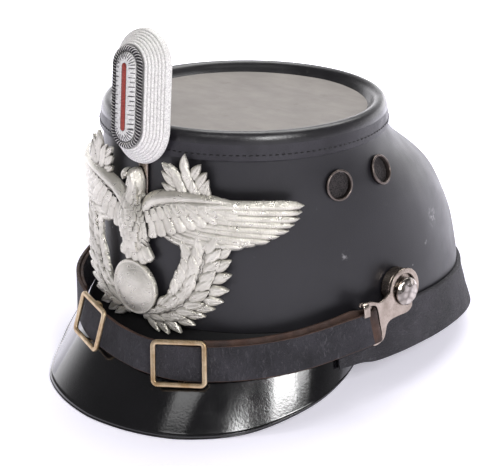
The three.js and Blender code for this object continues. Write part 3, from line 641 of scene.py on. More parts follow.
def cut_vents(crown):
    cutters = []
    for angle, height in rows(VENTS):
        plug = turned([(VENT_HOLE, -8), (VENT_HOLE, 8)], 48, wall_frame(angle, height))
        cutters += [plug, mirrored(plug)]
    cutter = put("vent_cutters", hat_mesh("vent_cutters", merged(cutters)))
    cut = crown.modifiers.new("vents", "BOOLEAN")
    cut.operation = "DIFFERENCE"
    cut.object = cutter
    bpy.context.view_layer.update()
    result = bpy.data.meshes.new_from_object(crown.evaluated_get(bpy.context.evaluated_depsgraph_get()))
    crown.modifiers.remove(cut)
    crown.data = result
    bpy.data.objects.remove(cutter)


cut_vents(add_piece("crown_wall", crown_shape(), [crown_material()], "crown", ["crown"]))

# Leather top: lid, rolled rim and stitched side band

TOP_SEAT = crown_at(BAND_FOOT)
STITCH = {"height": 87.2, "pitch": 3.0, "length": 1.8, "radius": 0.36}


def top_ring(inset, height):
    return oval_point(TOP_SEAT, around(CROWN_AROUND), height, BAND_THICKNESS + GAP - inset)


def lid_shape():
    insets = np.linspace(LID_CORE, LID_EDGE, 34)
    under = [top_ring(inset, TOP_UNDERSIDE) for inset in (LID_CORE, LID_EDGE)]
    rings = [top_ring(inset, LID_HEIGHT) for inset in insets[::-1]]
    for ring in rings:
        ring[:, 2] += wavy(ring, 0.03, LID_WAVE)
    return loft(under + rings)


def rim_shape():
    roll = smooth_path(rows(RIM), 26)
    under = [(BAND_THICKNESS + GAP, TOP_UNDERSIDE), (RIM["inset"][0], TOP_UNDERSIDE)]
    return loft([top_ring(inset, height) for inset, height in [*roll, *under]], loop=True)


def band_shape():
    inset, height = RIM["inset"][-1], RIM["height"][-1] + 0.4
    face = np.linspace((inset, height), (0, BAND_FOOT + 0.3), 8)
    under = [(0.3, BAND_FOOT), (BAND_THICKNESS, BAND_FOOT), (BAND_THICKNESS + GAP, TOP_UNDERSIDE)]
    return loft([top_ring(inset, height) for inset, height in [*face, *under]], loop=True)


def stitch_shape(middle, along, out):
    """One raised stitch: a short rounded bar."""
    across = np.cross(out, along)
    rings = []
    for part in np.linspace(-1, 1, 7):
        size = STITCH["radius"] * math.sqrt(max(1 - part**4, 0.02))
        centre = middle + along * part * STITCH["length"] / 2
        turn = np.radians(around(6))[:, None]
        rings.append(centre + size * (np.cos(turn) * across + np.sin(turn) * out))
    return loft(rings)


def stitch_row():
    fine = np.linspace(0, 360, 2001)
    inset = np.interp(STITCH["height"], [BAND_FOOT, RIM["height"][-1]], [0, RIM["inset"][-1]])
    row = oval_point(TOP_SEAT, fine, STITCH["height"], BAND_THICKNESS + GAP - inset + 0.08)
    length = run_length(row)
    count = int(length[-1] / STITCH["pitch"])
    stitches = []
    for at in np.arange(count) * length[-1] / count:
        middle, ahead = (np.array([np.interp(x, length, column) for column in row.T]) for x in (at, at + 0.5))
        along = unit(ahead - middle)
        stitches.append(stitch_shape(middle, along, np.cross(along, [0, 0, 1])))
    return merged(stitches)


leather_band = band_material()
stitch_thread = thread_material("stitch_thread", srgb(20, 18, 20), srgb(9, 8, 9), 0.0)
add_piece("crown_lid", lid_shape(), [lid_material()], "top", ["crown_top"])
add_piece("crown_rim", rim_shape(), [rim_material()], "patent", ["crown_top"])
add_piece("crown_band", band_shape(), [leather_band], "leather", ["crown_top"])
add_piece("band_stitches", stitch_row(), [stitch_thread], "leather", ["crown_top"])

# Front peak


def peak_shape():
    angle = np.linspace(-PEAK_END, PEAK_END, 161)[:, None]
    row = peak_at(np.abs(angle))
    reach, drop = row["reach"], np.minimum(row["drop"], BASE_HEIGHT)
    slope = np.arctan2(reach, drop)
    under = -(CROWN_WALL + GAP)

    def shell(parts, depth):
        part = np.asarray(parts)[None, :]
        bead = PEAK_BEAD["rise"] * np.exp(-((part - PEAK_BEAD["at"]) / PEAK_BEAD["half"]) ** 2)
        bulge = PEAK_BULGE * 4 * part * (1 - part) + (bead if depth == 0 else -depth)
        height = -GAP - (drop - GAP) * part + bulge * np.sin(slope)
        return base_point(angle, reach * part + bulge * np.cos(slope), np.maximum(height, -drop))

    edge = [base_point(angle, reach - inset, -drop + lift) for inset, lift in PEAK_EDGE]
    rings = np.concatenate([
        crown_point(angle, np.array([[PEAK_FLANGE_HEIGHT]]), under - PEAK_FLANGE_THICKNESS),
        crown_point(angle, np.array([[PEAK_FLANGE_HEIGHT]]), under),
        base_point(angle, under, np.full_like(angle, -GAP)),
        shell([*np.linspace(0, 0.91, 24), *np.linspace(0.925, 0.985, 13)], 0),
        *edge,
        shell(np.linspace(0.93, 0.1, 18), LEATHER),
        base_point(angle, under - PEAK_FLANGE_THICKNESS, np.full_like(angle, -LEATHER - GAP)),
    ], axis=1)
    return loft(rings)


add_piece("peak_shell", peak_shape(), [patent_material()], "patent", ["front_peak"], sharp=50)

# Neck guard


def neck_shape():
    angle = np.linspace(NECK_START, 360 - NECK_START, 241)[:, None]
    row = neck_at(np.minimum(angle, 360 - angle))
    drop = np.minimum(row["drop"], BASE_HEIGHT)

    def wall(parts, thickness):
        part = np.asarray(parts)[None, :]
        height = row["lap"] + (-drop - row["lap"]) * part
        return base_point(angle, GAP + row["flare"] * part**NECK_BOW + thickness, height)

    outer = wall([0, 0.012, *np.linspace(0.05, 0.95, 24), 0.988, 1], LEATHER)
    outer[:, 0] = wall([0], LEATHER * 0.75)[:, 0]
    outer[:, -1] = wall([1], LEATHER * 0.75)[:, 0]
    inner = wall(np.linspace(1, 0, 12), 0)
    rise = wavy(outer[:, 2:-2], 0.09, 0.35)[..., None]
    outer[:, 2:-2] += rise * unit(outer[:, 2:-2] * [1, 1, 0])
    return loft(np.concatenate([outer, inner], axis=1))


guard_leather = leather_material("guard_leather", srgb(30, 29, 33), srgb(58, 56, 61), (0.8, 0.8, 2.0))
add_piece("neck_apron", neck_shape(), [guard_leather], "leather", ["neck_guard"], sharp=60)

# Chin strap with its sliders


def strap_middle(angle):
    row = strap_at(angle)
    return base_point(angle, row["offset"], row["height"])


def strap_frame(angle):
    """Origin and axes on the strap's middle line: along it, across its width, and straight out of it."""
    along = unit(strap_middle(angle + 0.5) - strap_middle(angle - 0.5))
    turn, lean = math.radians(angle), math.radians(strap_at(angle)["lean"])
    across = np.array([-math.sin(turn) * math.sin(lean), math.cos(turn) * math.sin(lean), math.cos(lean)])
    across = unit(across - across.dot(along) * along)
    return strap_middle(angle), np.array([along, across, np.cross(along, across)])


def rounded_loop(width, height, corner, steps):
    """Points and outward directions along a rounded rectangle, with a few steps round each corner."""
    x, y = width / 2 - corner, height / 2 - corner
    centres = np.array([(x, y), (-x, y), (-x, -y), (x, -y)])
    turn = np.radians(90 * np.arange(4)[:, None] + np.linspace(0, 90, steps))
    normals = np.stack([np.cos(turn), np.sin(turn)], axis=-1)
    points = centres[:, None] + corner * normals
    return points.reshape(-1, 2), normals.reshape(-1, 2)


def rounded_section(width, thickness, corner):
    """Section of a strip with rounded corners: across its width and through its thickness."""
    return rounded_loop(width, thickness, corner, 4)[0]


STRAP_SECTION = rounded_section(STRAP_WIDTH, STRAP_THICKNESS, 0.45)
GRAIN_FACES = 3
STRAP_STEPS = {"outer": 110, "fold": 12, "inner": 70}
STRAP_MIDDLE = sum(STRAP_STEPS.values()) - 1


def strap_ring(angle, shift, rise, lift, turn):
    across, through = STRAP_SECTION.T
    along, out = shift + through * math.sin(turn), lift + through * math.cos(turn)
    return in_frame(np.stack([along, rise + across, out], axis=-1), strap_frame(angle))


def strap_half(side):
    """Rings of half of the strap, to one side: from the front round the claw's bar and back to its end."""
    layer = (STRAP_THICKNESS + GAP) / 2
    tail_rise = STRAP_RISE["left" if side > 0 else "right"]

    def lift(angle):
        parted = layer * smoothstep(angle, STRAP_PARTING["from"], STRAP_PARTING["to"])
        return parted + (FOLD_RADIUS - layer) * smoothstep(angle, STRAP_SPREAD["from"], STRAP_FOLD)

    outer = np.linspace(0, STRAP_FOLD, STRAP_STEPS["outer"])
    rings = [strap_ring(side * angle, 0, 0, lift(angle), 0) for angle in outer]
    for turn in np.linspace(0, math.pi, STRAP_STEPS["fold"] + 2)[1:-1]:
        shift, out = FOLD_RADIUS * math.sin(turn), FOLD_RADIUS * math.cos(turn)
        rings.append(strap_ring(side * STRAP_FOLD, side * shift, 0, out, side * turn))
    for angle in np.linspace(STRAP_FOLD, STRAP_TAIL, STRAP_STEPS["inner"]):
        rise = tail_rise * (1 - smoothstep(angle, STRAP_SPREAD["rise_from"], STRAP_FOLD))
        rings.append(strap_ring(side * angle, 0, rise, -lift(angle), math.pi))
    return rings


def strap_shape():
    return loft(strap_half(-1)[:0:-1] + strap_half(1))


def strap_slots(faces):
    """Grain side black; the flesh side, the cut edges and the worn folds brown."""
    size = len(STRAP_SECTION)
    fold_start = STRAP_STEPS["outer"] - 3
    fold_end = STRAP_STEPS["outer"] + STRAP_STEPS["fold"]

    def is_grain(face):
        folded = fold_start <= abs(face[0] // size - STRAP_MIDDLE) <= fold_end
        return len(face) == 4 and face[0] % size == GRAIN_FACES and not folded

    return [0 if is_grain(face) else 1 for face in faces]


strap = strap_shape()
strap_leather = leather_material("strap_leather", srgb(31, 30, 34), srgb(61, 59, 65), (2.0, 2.0, 0.7))
add_piece(
    "strap_strip", strap, [strap_leather, flesh_material()], "leather", ["chin_strap"],
    sharp=60, face_slots=strap_slots(strap[1]),
)

BUCKLE = {"width": 27.5, "height": 22.5, "bar": 2.4, "depth": 2.0, "corner": 2.6}
BUCKLES = {"left": {"angle": 20.3, "twist": 5}, "right": {"angle": -12.0, "twist": 2}}
BUCKLE_BAR = {"width": 3.0, "depth": 1.2}
BUCKLE_FRONT = STRAP_THICKNESS + 1.5 * GAP


def bent_strip(route, section):
    """Strip of metal along a route that bends only up and out."""
    tangent = unit(np.gradient(route, axis=0))
    return loft([
        point + np.outer(section[:, 0], [1, 0, 0]) + np.outer(section[:, 1], np.cross([1, 0, 0], way))
        for point, way in zip(route, tangent)
    ])


def buckle_hoop():
    bar, depth = BUCKLE["bar"], BUCKLE["depth"]
    section = rounded_section(bar, depth, 0.75)
    corner = BUCKLE["corner"] - bar / 2 + 0.6
    points, normals = rounded_loop(BUCKLE["width"] - bar, BUCKLE["height"] - bar, corner, 7)
    through = section[:, 1] + BUCKLE_FRONT + depth / 2
    rings = [
        np.insert(point + np.outer(section[:, 0], normal), 2, through, axis=1)
        for point, normal in zip(points, normals)
    ]
    return loft(rings, loop=True)


def buckle_bar():
    """Bar across the slider, bent forward at both ends to meet its frame."""
    end = BUCKLE["height"] / 2 - 0.5
    middle = -GAP / 2 - BUCKLE_BAR["depth"] / 2
    bend = [(0, end - 1.2, BUCKLE_FRONT + 0.6), (0, end - 0.8, middle + 1), (0, end - 2.4, middle)]
    other_bend = [(x, -up, out) for x, up, out in bend[::-1]]
    route = smooth_path([*bend, (0, 0, middle), *other_bend], 60)
    return bent_strip(route, rounded_section(BUCKLE_BAR["width"], BUCKLE_BAR["depth"], 0.4))


def buckle_shape(angle, twist):
    points, faces = merged([buckle_hoop(), buckle_bar()])
    turn = math.radians(twist)
    spin = np.array([[math.cos(turn), math.sin(turn), 0], [-math.sin(turn), math.cos(turn), 0], [0, 0, 1]])
    return in_frame(points @ spin, strap_frame(angle)), faces


# The fourth colour is the grime with painted shade that fills the brass's hollows.
worn_brass = metal_material("worn_brass", srgb(226, 206, 174), srgb(176, 146, 108), srgb(66, 40, 24), 0.3)
for side, place in BUCKLES.items():
    add_piece(f"buckle_{side}", buckle_shape(**place), [worn_brass], "brass", [f"strap_buckle_{side}"])


def add_pair(name, shape, materials, slot, node, **options):
    """A piece on the wearer's left and its mirror on the right, for the pair of nodes."""
    add_piece(f"{name}_left", shape, materials, slot, [f"{node}_left"], **options)
    add_piece(f"{name}_right", mirrored(shape), materials, slot, [f"{node}_right"], **options)


# Side studs, claws and vents

STUD_DRUM = [(0.2, GAP), (8.9, GAP), (9.4, 0.8), (9.4, 5.4), (8.9, 5.9), (0.2, 5.9)]
STUD_HEAD = [
    (0.2, 4.9), (5.6, 4.9), (5.6, 8.1), (6.7, 8.3), (7.0, 8.7),
    (6.9, 9.3), (6.3, 10.0), (5.3, 10.55), (4.1, 10.85), (0.2, 11.1),
]
CLAW = {"out": 6.4, "thickness": 1.3, "ring": 10.0, "hole": 7.4, "round": 0.35}
CLAW_OUTLINE = table(
    "along up",
    (4.6, -8.0),
    (4.4, -11.0),
    (1.0, -12.8),
    (-4.5, -13.0),
    (-10.0, -13.4),
    (-12.9, -15.0),
    (-14.1, -18.2),
    (-15.6, -21.6),
    (-19.4, -23.3),
    (-22.4, -23.3),
    (-22.4, -22.1),
    (-18.6, -21.8),
    (-17.1, -19.0),
    (-18.0, -13.0),
    (-18.8, -7.6),
    (-20.2, -3.7),
    (-24.0, -2.7),
    (-30.4, -1.6),
    (-30.4, 0.4),
    (-27.0, 0.0),
    (-22.8, -0.6),
    (-17.6, -2.4),
    (-13.2, -1.2),
    (-9.0, 0.8),
    (-7.2, -4.9),
    (-3.7, -7.9),
    (0.8, -8.7),
)
CLAW_BAR = [(-23.5, -2.4), (-24.7, -2.4), (-21.3, -22.6), (-20.1, -22.6)]
CLAW_HOOK = {"along": -28.7, "width": 3.8, "out": 10.4}
VENT_RIM = [
    (6.3, -3.2), (6.7, -3.2), (6.7, 1.0), (7.35, 1.0), (7.5, 1.15), (7.45, 1.4),
    (7.2, 1.65), (6.9, 1.85), (6.6, 1.8), (6.38, 1.6), (6.3, 1.4),
]
GAUZE_RADIUS = 5.95


def closed_path(points, steps):
    """Smooth closed curve through points, with a few steps from each to the next."""
    points = np.asarray(points, float)
    ahead = np.roll(points, -1, axis=0)
    slope = (ahead - np.roll(points, 1, axis=0)) / 2
    t = np.linspace(0, 1, steps, endpoint=False)[:, None]
    spans = [
        (2 * t**3 - 3 * t**2 + 1) * here + (3 * t**2 - 2 * t**3) * there + (t**3 - 2 * t**2 + t) * leave
        + (t**3 - t**2) * arrive
        for here, there, leave, arrive in zip(points, ahead, slope, np.roll(slope, -1, axis=0))
    ]
    return np.concatenate(spans)


def plate_mesh(outlines, low, high, rounding):
    """Flat plate cut to one outline with holes, with rounded edges."""
    outline = bpy.data.curves.new("outline", "CURVE")
    outline.dimensions = "2D"
    outline.fill_mode = "BOTH"
    outline.extrude = (high - low) / 2 - rounding
    outline.bevel_depth = rounding
    outline.bevel_resolution = 2
    outline.offset = -rounding
    for points in outlines:
        spline = outline.splines.new("POLY")
        spline.points.add(len(points) - 1)
        for place, (x, y) in zip(spline.points, points):
            place.co = (x, y, 0, 1)
        spline.use_cyclic_u = True
    holder = put("outline", outline)
    bpy.context.view_layer.update()
    mesh = bpy.data.meshes.new_from_object(holder.evaluated_get(bpy.context.evaluated_depsgraph_get()))
    work = bmesh.new()
    work.from_mesh(mesh)
    bmesh.ops.remove_doubles(work, verts=work.verts, dist=1e-4)
    points = np.array([vertex.co for vertex in work.verts]) + [0, 0, (low + high) / 2]
    work.verts.ensure_lookup_table()
    faces = [[vertex.index for vertex in face.verts] for face in work.faces]
    work.free()
    bpy.data.objects.remove(holder)
    bpy.data.curves.remove(outline)
    bpy.data.meshes.remove(mesh)
    return points, faces


def circle(radius):
    turn = np.radians(around(64))
    return np.stack([radius * np.cos(turn), radius * np.sin(turn)], axis=-1)


def claw_shape():
    out, thick, edge = CLAW["out"], CLAW["thickness"], CLAW["round"]
    fork_outline = closed_path(rows(CLAW_OUTLINE), 5)
    eye = plate_mesh([circle(CLAW["ring"]), circle(CLAW["hole"])], out, out + thick, edge)
    fork = plate_mesh([fork_outline], out + 0.02, out + thick - 0.02, edge)
    bar = plate_mesh([CLAW_BAR], out, out + thick, edge)
    x, top = CLAW_HOOK["along"], CLAW_HOOK["out"] - thick / 2
    section = rounded_section(CLAW_HOOK["width"], thick, 0.4)
    route = smooth_path([
        (x, -0.9, out + thick / 2), (x, -0.3, out + 1.4), (x, -0.3, top - 1.3),
        (x, -0.9, top - 0.4), (x, -2.3, top), (x, -6.1, top),
    ], 40)
    claw = merged([eye, fork, bar, bent_strip(route, section)])
    return placed(claw, wall_frame(STUD["angle"], STUD["height"]))


def stud_head():
    """Neck and domed head of a stud, which hangs a little low."""
    origin, axes = wall_frame(STUD["angle"], STUD["height"])
    return turned(STUD_HEAD, 48, (origin - STUD["droop"] * axes[1], axes))


def gauze_shape(frame_of):
    radii = np.linspace(0.1, GAUZE_RADIUS, 12)
    top = [(radius, -0.1 - 0.25 * (radius / GAUZE_RADIUS) ** 2) for radius in radii]
    return turned([(0.1, -0.8), (GAUZE_RADIUS, -0.8), *top[::-1]], 48, frame_of)


# The fourth colour of each is the grime with painted shade that fills its hollows.
nickel = metal_material("worn_nickel", srgb(188, 175, 164), srgb(152, 139, 128), srgb(58, 46, 36), 0.2)
dull_metal = metal_material("dull_metal", srgb(132, 122, 117), srgb(92, 83, 79), srgb(36, 30, 28), 0.34)
gauze = gauze_material()
add_pair("claw", claw_shape(), [nickel], "nickel", "strap_claw", sharp=50)
stud_drum = turned(STUD_DRUM, 48, wall_frame(STUD["angle"], STUD["height"]))
add_pair("stud_drum", stud_drum, [nickel], "nickel", "side_stud", sharp=30)
add_pair("stud_head", stud_head(), [polished_material()], "nickel", "side_stud", sharp=30)
for row, (angle, height) in zip(("front", "rear"), rows(VENTS)):
    place = wall_frame(angle, height)
    points, faces = turned(VENT_RIM + VENT_RIM[:1], 64, place)
    add_pair(f"vent_ring_{row}", (points, faces[:-2]), [dull_metal], "nickel", f"vent_rim_{row}", sharp=50)
    add_pair(f"vent_mesh_{row}", gauze_shape(place), [gauze], "gauze", f"vent_gauze_{row}")

# Front plate: a spread-winged bird over a leafy wreath, with a plain boss

PLATE_RADIUS = 84
PLATE_STANDOFF = 2.4
PLATE_SPREAD = {"half": 85, "out": 5, "power": 1.2}
BRANCH = table(
    "at across up half rise",
    (0, 4, 4, 4, 2.2),
    (1, 19, 8.5, 7, 3.0),
    (2, 30, 19, 9, 3.2),
    (3, 36.5, 34, 9.3, 2.6),
    (4, 38, 50, 9.3, 0.9),
    (5, 34.5, 64, 11, 1.2),
    (6, 31, 77, 6, 2.6),
)
LEAF_LANES = table("side turn", (-0.95, -46), (-0.4, -16), (0.4, 16), (0.95, 46))
LEAF = {"rows": 19, "length": 12.0, "half": 2.9, "rise": 1.2, "tilt": 1.1}
WING = table(
    "root across up",
    (62.5, 85, 65),
    (60, 81, 58.8),
    (57.5, 75, 53.2),
    (55, 66.5, 48.6),
    (52.5, 56, 46),
    (50, 44, 45),
)
WING_ROOT = 12
WING_ARM = [(4, 54), (12, 62.5), (22, 66), (36, 67.6), (56, 66.8)]
WING_ARM_HALF = table("at half", (0, 3.6), (0.2, 4.0), (0.5, 3.4), (0.8, 2.2), (1, 0.4))
WING_FEATHER = {"half": 2.5, "rise": 1.7, "base": 1.5, "sink": 0.16, "bow": 1.6, "unbow": 0.9}
COVERT_COUNT = 9
COVERT = {"half": 2.9, "rise": 1.1, "base": 2.2, "sink": 0.05}
SMALL_COVERT = {"half": 2.2, "rise": 0.8, "base": 2.9, "sink": 0.05, "share": 0.45}
TRUNK = {"low": 35.0, "high": 67.0, "half": 10.5, "rise": 6.2, "base": 0.8}
TRUNK_PROFILE = curve(np.linspace(0, 1, 6), np.array([0.35, 0.75, 1, 0.95, 0.65, 0.45]))
BIRD_NECK = [(0, 61), (1.6, 67), (0.8, 72), (-1.6, 75.4)]
BIRD_NECK_HALF = table("at half", (0, 5.2), (0.3, 4.2), (0.6, 4.6), (0.85, 4.2), (1, 1.2))
BEAK = [(-2.2, 74), (-5.4, 73.8), (-6.8, 71.6), (-6.4, 69.6)]
EYE_PLACE = (-1.6, 73.6)
EYE_PROFILE = [(1.0, 4.9), (0.9, 6.6), (0.5, 7.0), (0.05, 7.1)]
TAIL = table("across up", (9.5, 31), (-9.5, 31), (5, 28.5), (-5, 28.5), (0, 27.5))
TAIL_ROOT = 43
BOSS_UP = 16.5
BOSS_PROFILE = [
    (13.6, 0.4), (13.6, 2.2), (13.2, 2.7), (12.6, 2.75), (12.1, 2.4),
    (11.6, 2.5), (9, 4.2), (6, 5.2), (3, 5.6), (0.3, 5.7),
]
PLATE_POST = {"across": 35, "up": 52, "radius": 2.0}
branch_at = lookup(BRANCH, "at")


def plate_standoff(across):
    """How far the plate's back stands off the crown, which is more towards its sides."""
    part = np.minimum(np.abs(across) / PLATE_SPREAD["half"], 1)
    return PLATE_STANDOFF + PLATE_SPREAD["out"] * np.sin(part * np.pi / 2) ** PLATE_SPREAD["power"]


def plate_point(across, up, out):
    angle = np.degrees(np.asarray(across) / PLATE_RADIUS)
    return crown_point(angle, np.asarray(up), plate_standoff(across) + np.asarray(out))


def blade(path, half, base, rise, vein=0.0, columns=9, thickness=1.3):
    """Raised blade along a flat path of across and up, by half width and base height at each point."""
    path, half = np.asarray(path, float), np.asarray(half, float)
    along = unit(np.gradient(path, axis=0))
    normal = np.stack([-along[:, 1], along[:, 0]], axis=-1)
    side = np.linspace(-1, 1, columns)
    crest = rise * (1 - np.abs(side) ** 2.2) - vein * np.exp(-(side / 0.2) ** 2)
    swell = np.sqrt(half / half.max())
    top = path[:, None] + normal[:, None] * (half[:, None] * side)[..., None]
    height = np.broadcast_to(base, half.shape)[:, None] + swell[:, None] * crest
    foot = np.concatenate([top[:, -1:], top[:, :1]], axis=1)
    low = height[:, [-1, 0]] - thickness
    flat = np.concatenate([top, foot], axis=1)
    return loft(plate_point(flat[..., 0], flat[..., 1], np.concatenate([height, low], axis=1)))


def leaf_half(count, widest):
    u = np.linspace(0, 1, count)
    return np.maximum(widest * np.sin(np.pi * u**0.8) ** 0.8, 0.12)


def feather_half(count, widest):
    u = np.linspace(0, 1, count)
    tip = np.sqrt(np.maximum(1 - np.maximum((u - 0.86) / 0.14, 0) ** 2, 0.0004))
    return widest * (0.6 + 0.4 * smoothstep(u, 0, 0.35)) * tip


def swelling(widths, count):
    """Half widths along a form, from a short table."""
    return np.interp(np.linspace(0, 1, count), widths["at"], widths["half"])


def leaf(root, way, length, half, base):
    """Pointed leaf with a vein, bent a little to one side, its tip raised."""
    way = np.array([math.cos(way), math.sin(way)])
    side = np.array([-way[1], way[0]])
    root = np.asarray(root)
    path = smooth_path([root, root + way * length * 0.5 + side * 0.4, root + way * length], 11)
    lift = base + LEAF["tilt"] * np.linspace(0, 1, 11)
    return blade(path, leaf_half(11, half), lift, LEAF["rise"], vein=0.45)


def wreath_branch():
    band = branch_at(np.linspace(0, 5.98, 40))
    stem = np.stack([band["across"], band["up"]], axis=-1)
    leaves = [blade(stem, 0.8 * band["half"], 0.3 * band["rise"] - 0.4, 0.6)]
    for i, at in enumerate(np.linspace(0.15, 5.75, LEAF["rows"])):
        here, ahead = branch_at(at), branch_at(at + 0.02)
        way = math.atan2(ahead["up"] - here["up"], ahead["across"] - here["across"])
        normal = np.array([-math.sin(way), math.cos(way)])
        size = min(1.0, 0.55 + here["half"] / 20)
        for lane, (side, turn) in enumerate(rows(LEAF_LANES)):
            slide = 0.5 * (lane % 2) * np.array([math.cos(way), math.sin(way)]) * 5.2
            root = np.array([here["across"], here["up"]]) + normal * side * here["half"] * 0.42 + slide
            lean = way + math.radians(turn + 7 * math.sin(5.1 * i + 2.3 * lane))
            base = 0.45 * here["rise"] * (1.25 - abs(side)) - 0.2 + 0.12 * math.sin(3.7 * i + 1.9 * lane)
            leaves.append(leaf(root, lean, LEAF["length"] * size, LEAF["half"] * size, base))
    return leaves


def wing_feathers():
    """Long feathers from the wing's root to its tips, with one more between each two."""
    feathers = []
    roots = np.stack([np.full(len(WING["root"]), WING_ROOT), WING["root"]], axis=-1)
    tips = np.stack([WING["across"], WING["up"]], axis=-1)
    for k in range(2 * len(roots) - 1):
        i, between = divmod(k, 2)
        near = roots[i] + between * 0.5 * (roots[i + between] - roots[i])
        far = tips[i] + between * 0.5 * (tips[i + between] - tips[i])
        bow = np.array([0, WING_FEATHER["bow"] - WING_FEATHER["unbow"] * i])
        path = smooth_path([near, (near + far) / 2 + bow, far], 30)
        base = WING_FEATHER["base"] - WING_FEATHER["sink"] * k
        half = feather_half(30, WING_FEATHER["half"])
        feathers.append(blade(path, half, base, WING_FEATHER["rise"], vein=-0.2))
    return feathers


def covert_feathers():
    """Short feathers over the roots of the long ones, each with a smaller one on it."""
    feathers = []
    for i in range(COVERT_COUNT):
        part = i / (COVERT_COUNT - 1)
        root = np.array([9 + 30 * part, 57.5 + 7.5 * math.sin(1.9 * part)])
        way = math.radians(-78 + 62 * part)
        tip = root + (13.5 + 4 * part) * np.array([math.cos(way), math.sin(way)])
        path = smooth_path([root, (root + tip) / 2 + [1.0, 0.6], tip], 18)
        base = COVERT["base"] - COVERT["sink"] * i
        feathers.append(blade(path, feather_half(18, COVERT["half"]), base, COVERT["rise"], vein=-0.2))
        tip = root + SMALL_COVERT["share"] * (tip - root)
        path = smooth_path([root, (root + tip) / 2, tip], 12)
        base = SMALL_COVERT["base"] - SMALL_COVERT["sink"] * i
        half = feather_half(12, SMALL_COVERT["half"])
        feathers.append(blade(path, half, base, SMALL_COVERT["rise"], vein=-0.15))
    return feathers


def wing_arm():
    route = smooth_path(WING_ARM, 40)
    return blade(route, swelling(WING_ARM_HALF, 40), 0.9, 3.0, columns=13, thickness=1.0)


def trunk_share(up):
    """Half width of the bird's trunk at a height, as a share of its widest."""
    return TRUNK_PROFILE((up - TRUNK["low"]) / (TRUNK["high"] - TRUNK["low"]))


def trunk_out(across, up):
    """Height of the bird's trunk off the plate."""
    share = trunk_share(up)
    side = np.minimum(np.abs(across) / (TRUNK["half"] * share), 1)
    return TRUNK["base"] + np.sqrt(share) * TRUNK["rise"] * (1 - side**2.2)


def trunk():
    up = np.linspace(TRUNK["low"], TRUNK["high"], 40)
    half = TRUNK["half"] * TRUNK_PROFILE(np.linspace(0, 1, 40))
    return blade(np.stack([0 * up, up], axis=-1), half, TRUNK["base"], TRUNK["rise"], columns=21)


def trunk_feathers():
    """Rows of small feathers down the trunk, each row shifted against the last."""
    feathers = []
    for row, level in enumerate(np.arange(64, 38, -2.6)):
        reach = TRUNK["half"] * float(trunk_share(level)) * 0.72
        count = max(2, round(2 * reach / 3.3))
        for across in np.linspace(-reach, reach, count + row % 2):
            route = [(across, level), (across * 1.02, level - 2.4), (across * 1.04, level - 4.8)]
            path = smooth_path(route, 8)
            base = trunk_out(path[:, 0], path[:, 1]) - 0.25 + np.linspace(-0.2, 0.35, 8)
            feathers.append(blade(path, feather_half(8, 1.9), base, 0.55, vein=-0.15, columns=7))
    return feathers


def tail_feathers():
    feathers = []
    for across, up in rows(TAIL):
        route = [(0, TAIL_ROOT), (across * 0.55, (TAIL_ROOT + up) / 2), (across, up)]
        base = 0.9 - 0.03 * abs(across)
        feathers.append(blade(smooth_path(route, 20), feather_half(20, 3.2), base, 1.3, vein=-0.25))
    return feathers


def neck_feathers():
    feathers = []
    for row in range(4):
        for across in (-1.9, 0, 1.9):
            top = np.array([across + 0.9 + (row % 2) * 0.6, 71.5 - 2.6 * row])
            path = smooth_path([top, top + [0.1, -2.0], top + [0.0, -4.0]], 8)
            base = np.full(8, 5.6 - 0.35 * abs(across)) + np.linspace(-0.3, 0.4, 8)
            feathers.append(blade(path, feather_half(8, 1.5), base, 0.5, columns=7))
    return feathers


def bird_body():
    neck = blade(smooth_path(BIRD_NECK, 30), swelling(BIRD_NECK_HALF, 30), 1.0, 5.8, columns=17)
    beak = blade(smooth_path(BEAK, 14), np.linspace(1.9, 0.25, 14), 3.0, 2.0)
    eye = plate_round(*EYE_PLACE, EYE_PROFILE, 16)
    return [trunk(), *trunk_feathers(), neck, beak, *tail_feathers(), *neck_feathers(), eye]


def plate_round(across, up, profile, sides=72):
    turn = np.radians(around(sides))
    return loft([plate_point(across + r * np.cos(turn), up + r * np.sin(turn), out) for r, out in profile])


def plate_shape():
    half = [*wreath_branch(), *wing_feathers(), *covert_feathers(), wing_arm()]
    across, up, radius = PLATE_POST.values()
    foot = 2 * GAP - plate_standoff(across)
    half.append(plate_round(across, up, [(radius, foot), (radius, 1)], 24))
    boss = plate_round(0, BOSS_UP, BOSS_PROFILE)
    return merged([*half, *[mirrored(shape) for shape in half], *bird_body(), boss])


add_piece("plate_relief", plate_shape(), [silver_material()], "silver", ["front_plate"], sharp=45)

# Cockade: ribbed oval of silver thread, a twisted cord, a threaded middle and a red slit

COCKADE = {"across": 3.0, "front": 105.6, "up": 110.0, "straight": 13.9, "lean": 9.0, "roll": 4.7}
COCKADE_RIBS = {"count": 7, "outer": 16.8, "inner": 9.7, "low": 2.4, "high": 10.6, "depth": 0.55}
CORD = {"radius": 8.1, "out": 11.55, "twists": 38}
CORD_STRANDS = table(
    "radius offset phase",
    (0.86, 0.5, 0),
    (0.86, 0.5, 180),
    (0.3, 1.08, 90),
    (0.3, 1.08, 270),
)
COCKADE_EDGE = [(16.9, 0), (17.2, 0.3), (17.3, 0.8), (17.1, 1.5)]
CORD_GROOVE = [(9.5, 9.9), (6.6, 9.9)]
THREADS = 46
PAD = table(
    "radius out groove",
    (6.4, 9.8, 0),
    (6.45, 12.1, 0.2),
    (6.2, 12.7, 0.35),
    (5.7, 13.1, 0.35),
    (5.0, 13.4, 0.35),
    (4.2, 13.55, 0.3),
    (3.4, 13.7, 0.25),
    (2.6, 13.8, 0.15),
    (2.0, 13.8, 0.05),
    (1.6, 13.7, 0),
    (1.45, 13.3, 0),
    (1.4, 12.6, 0),
)
PAD_THREAD = 0.16
PAD_THREAD_PATH = [(6.3, 12.75), (5.7, 13.2), (5.0, 13.48), (4.2, 13.65), (3.3, 13.8), (2.6, 13.88)]
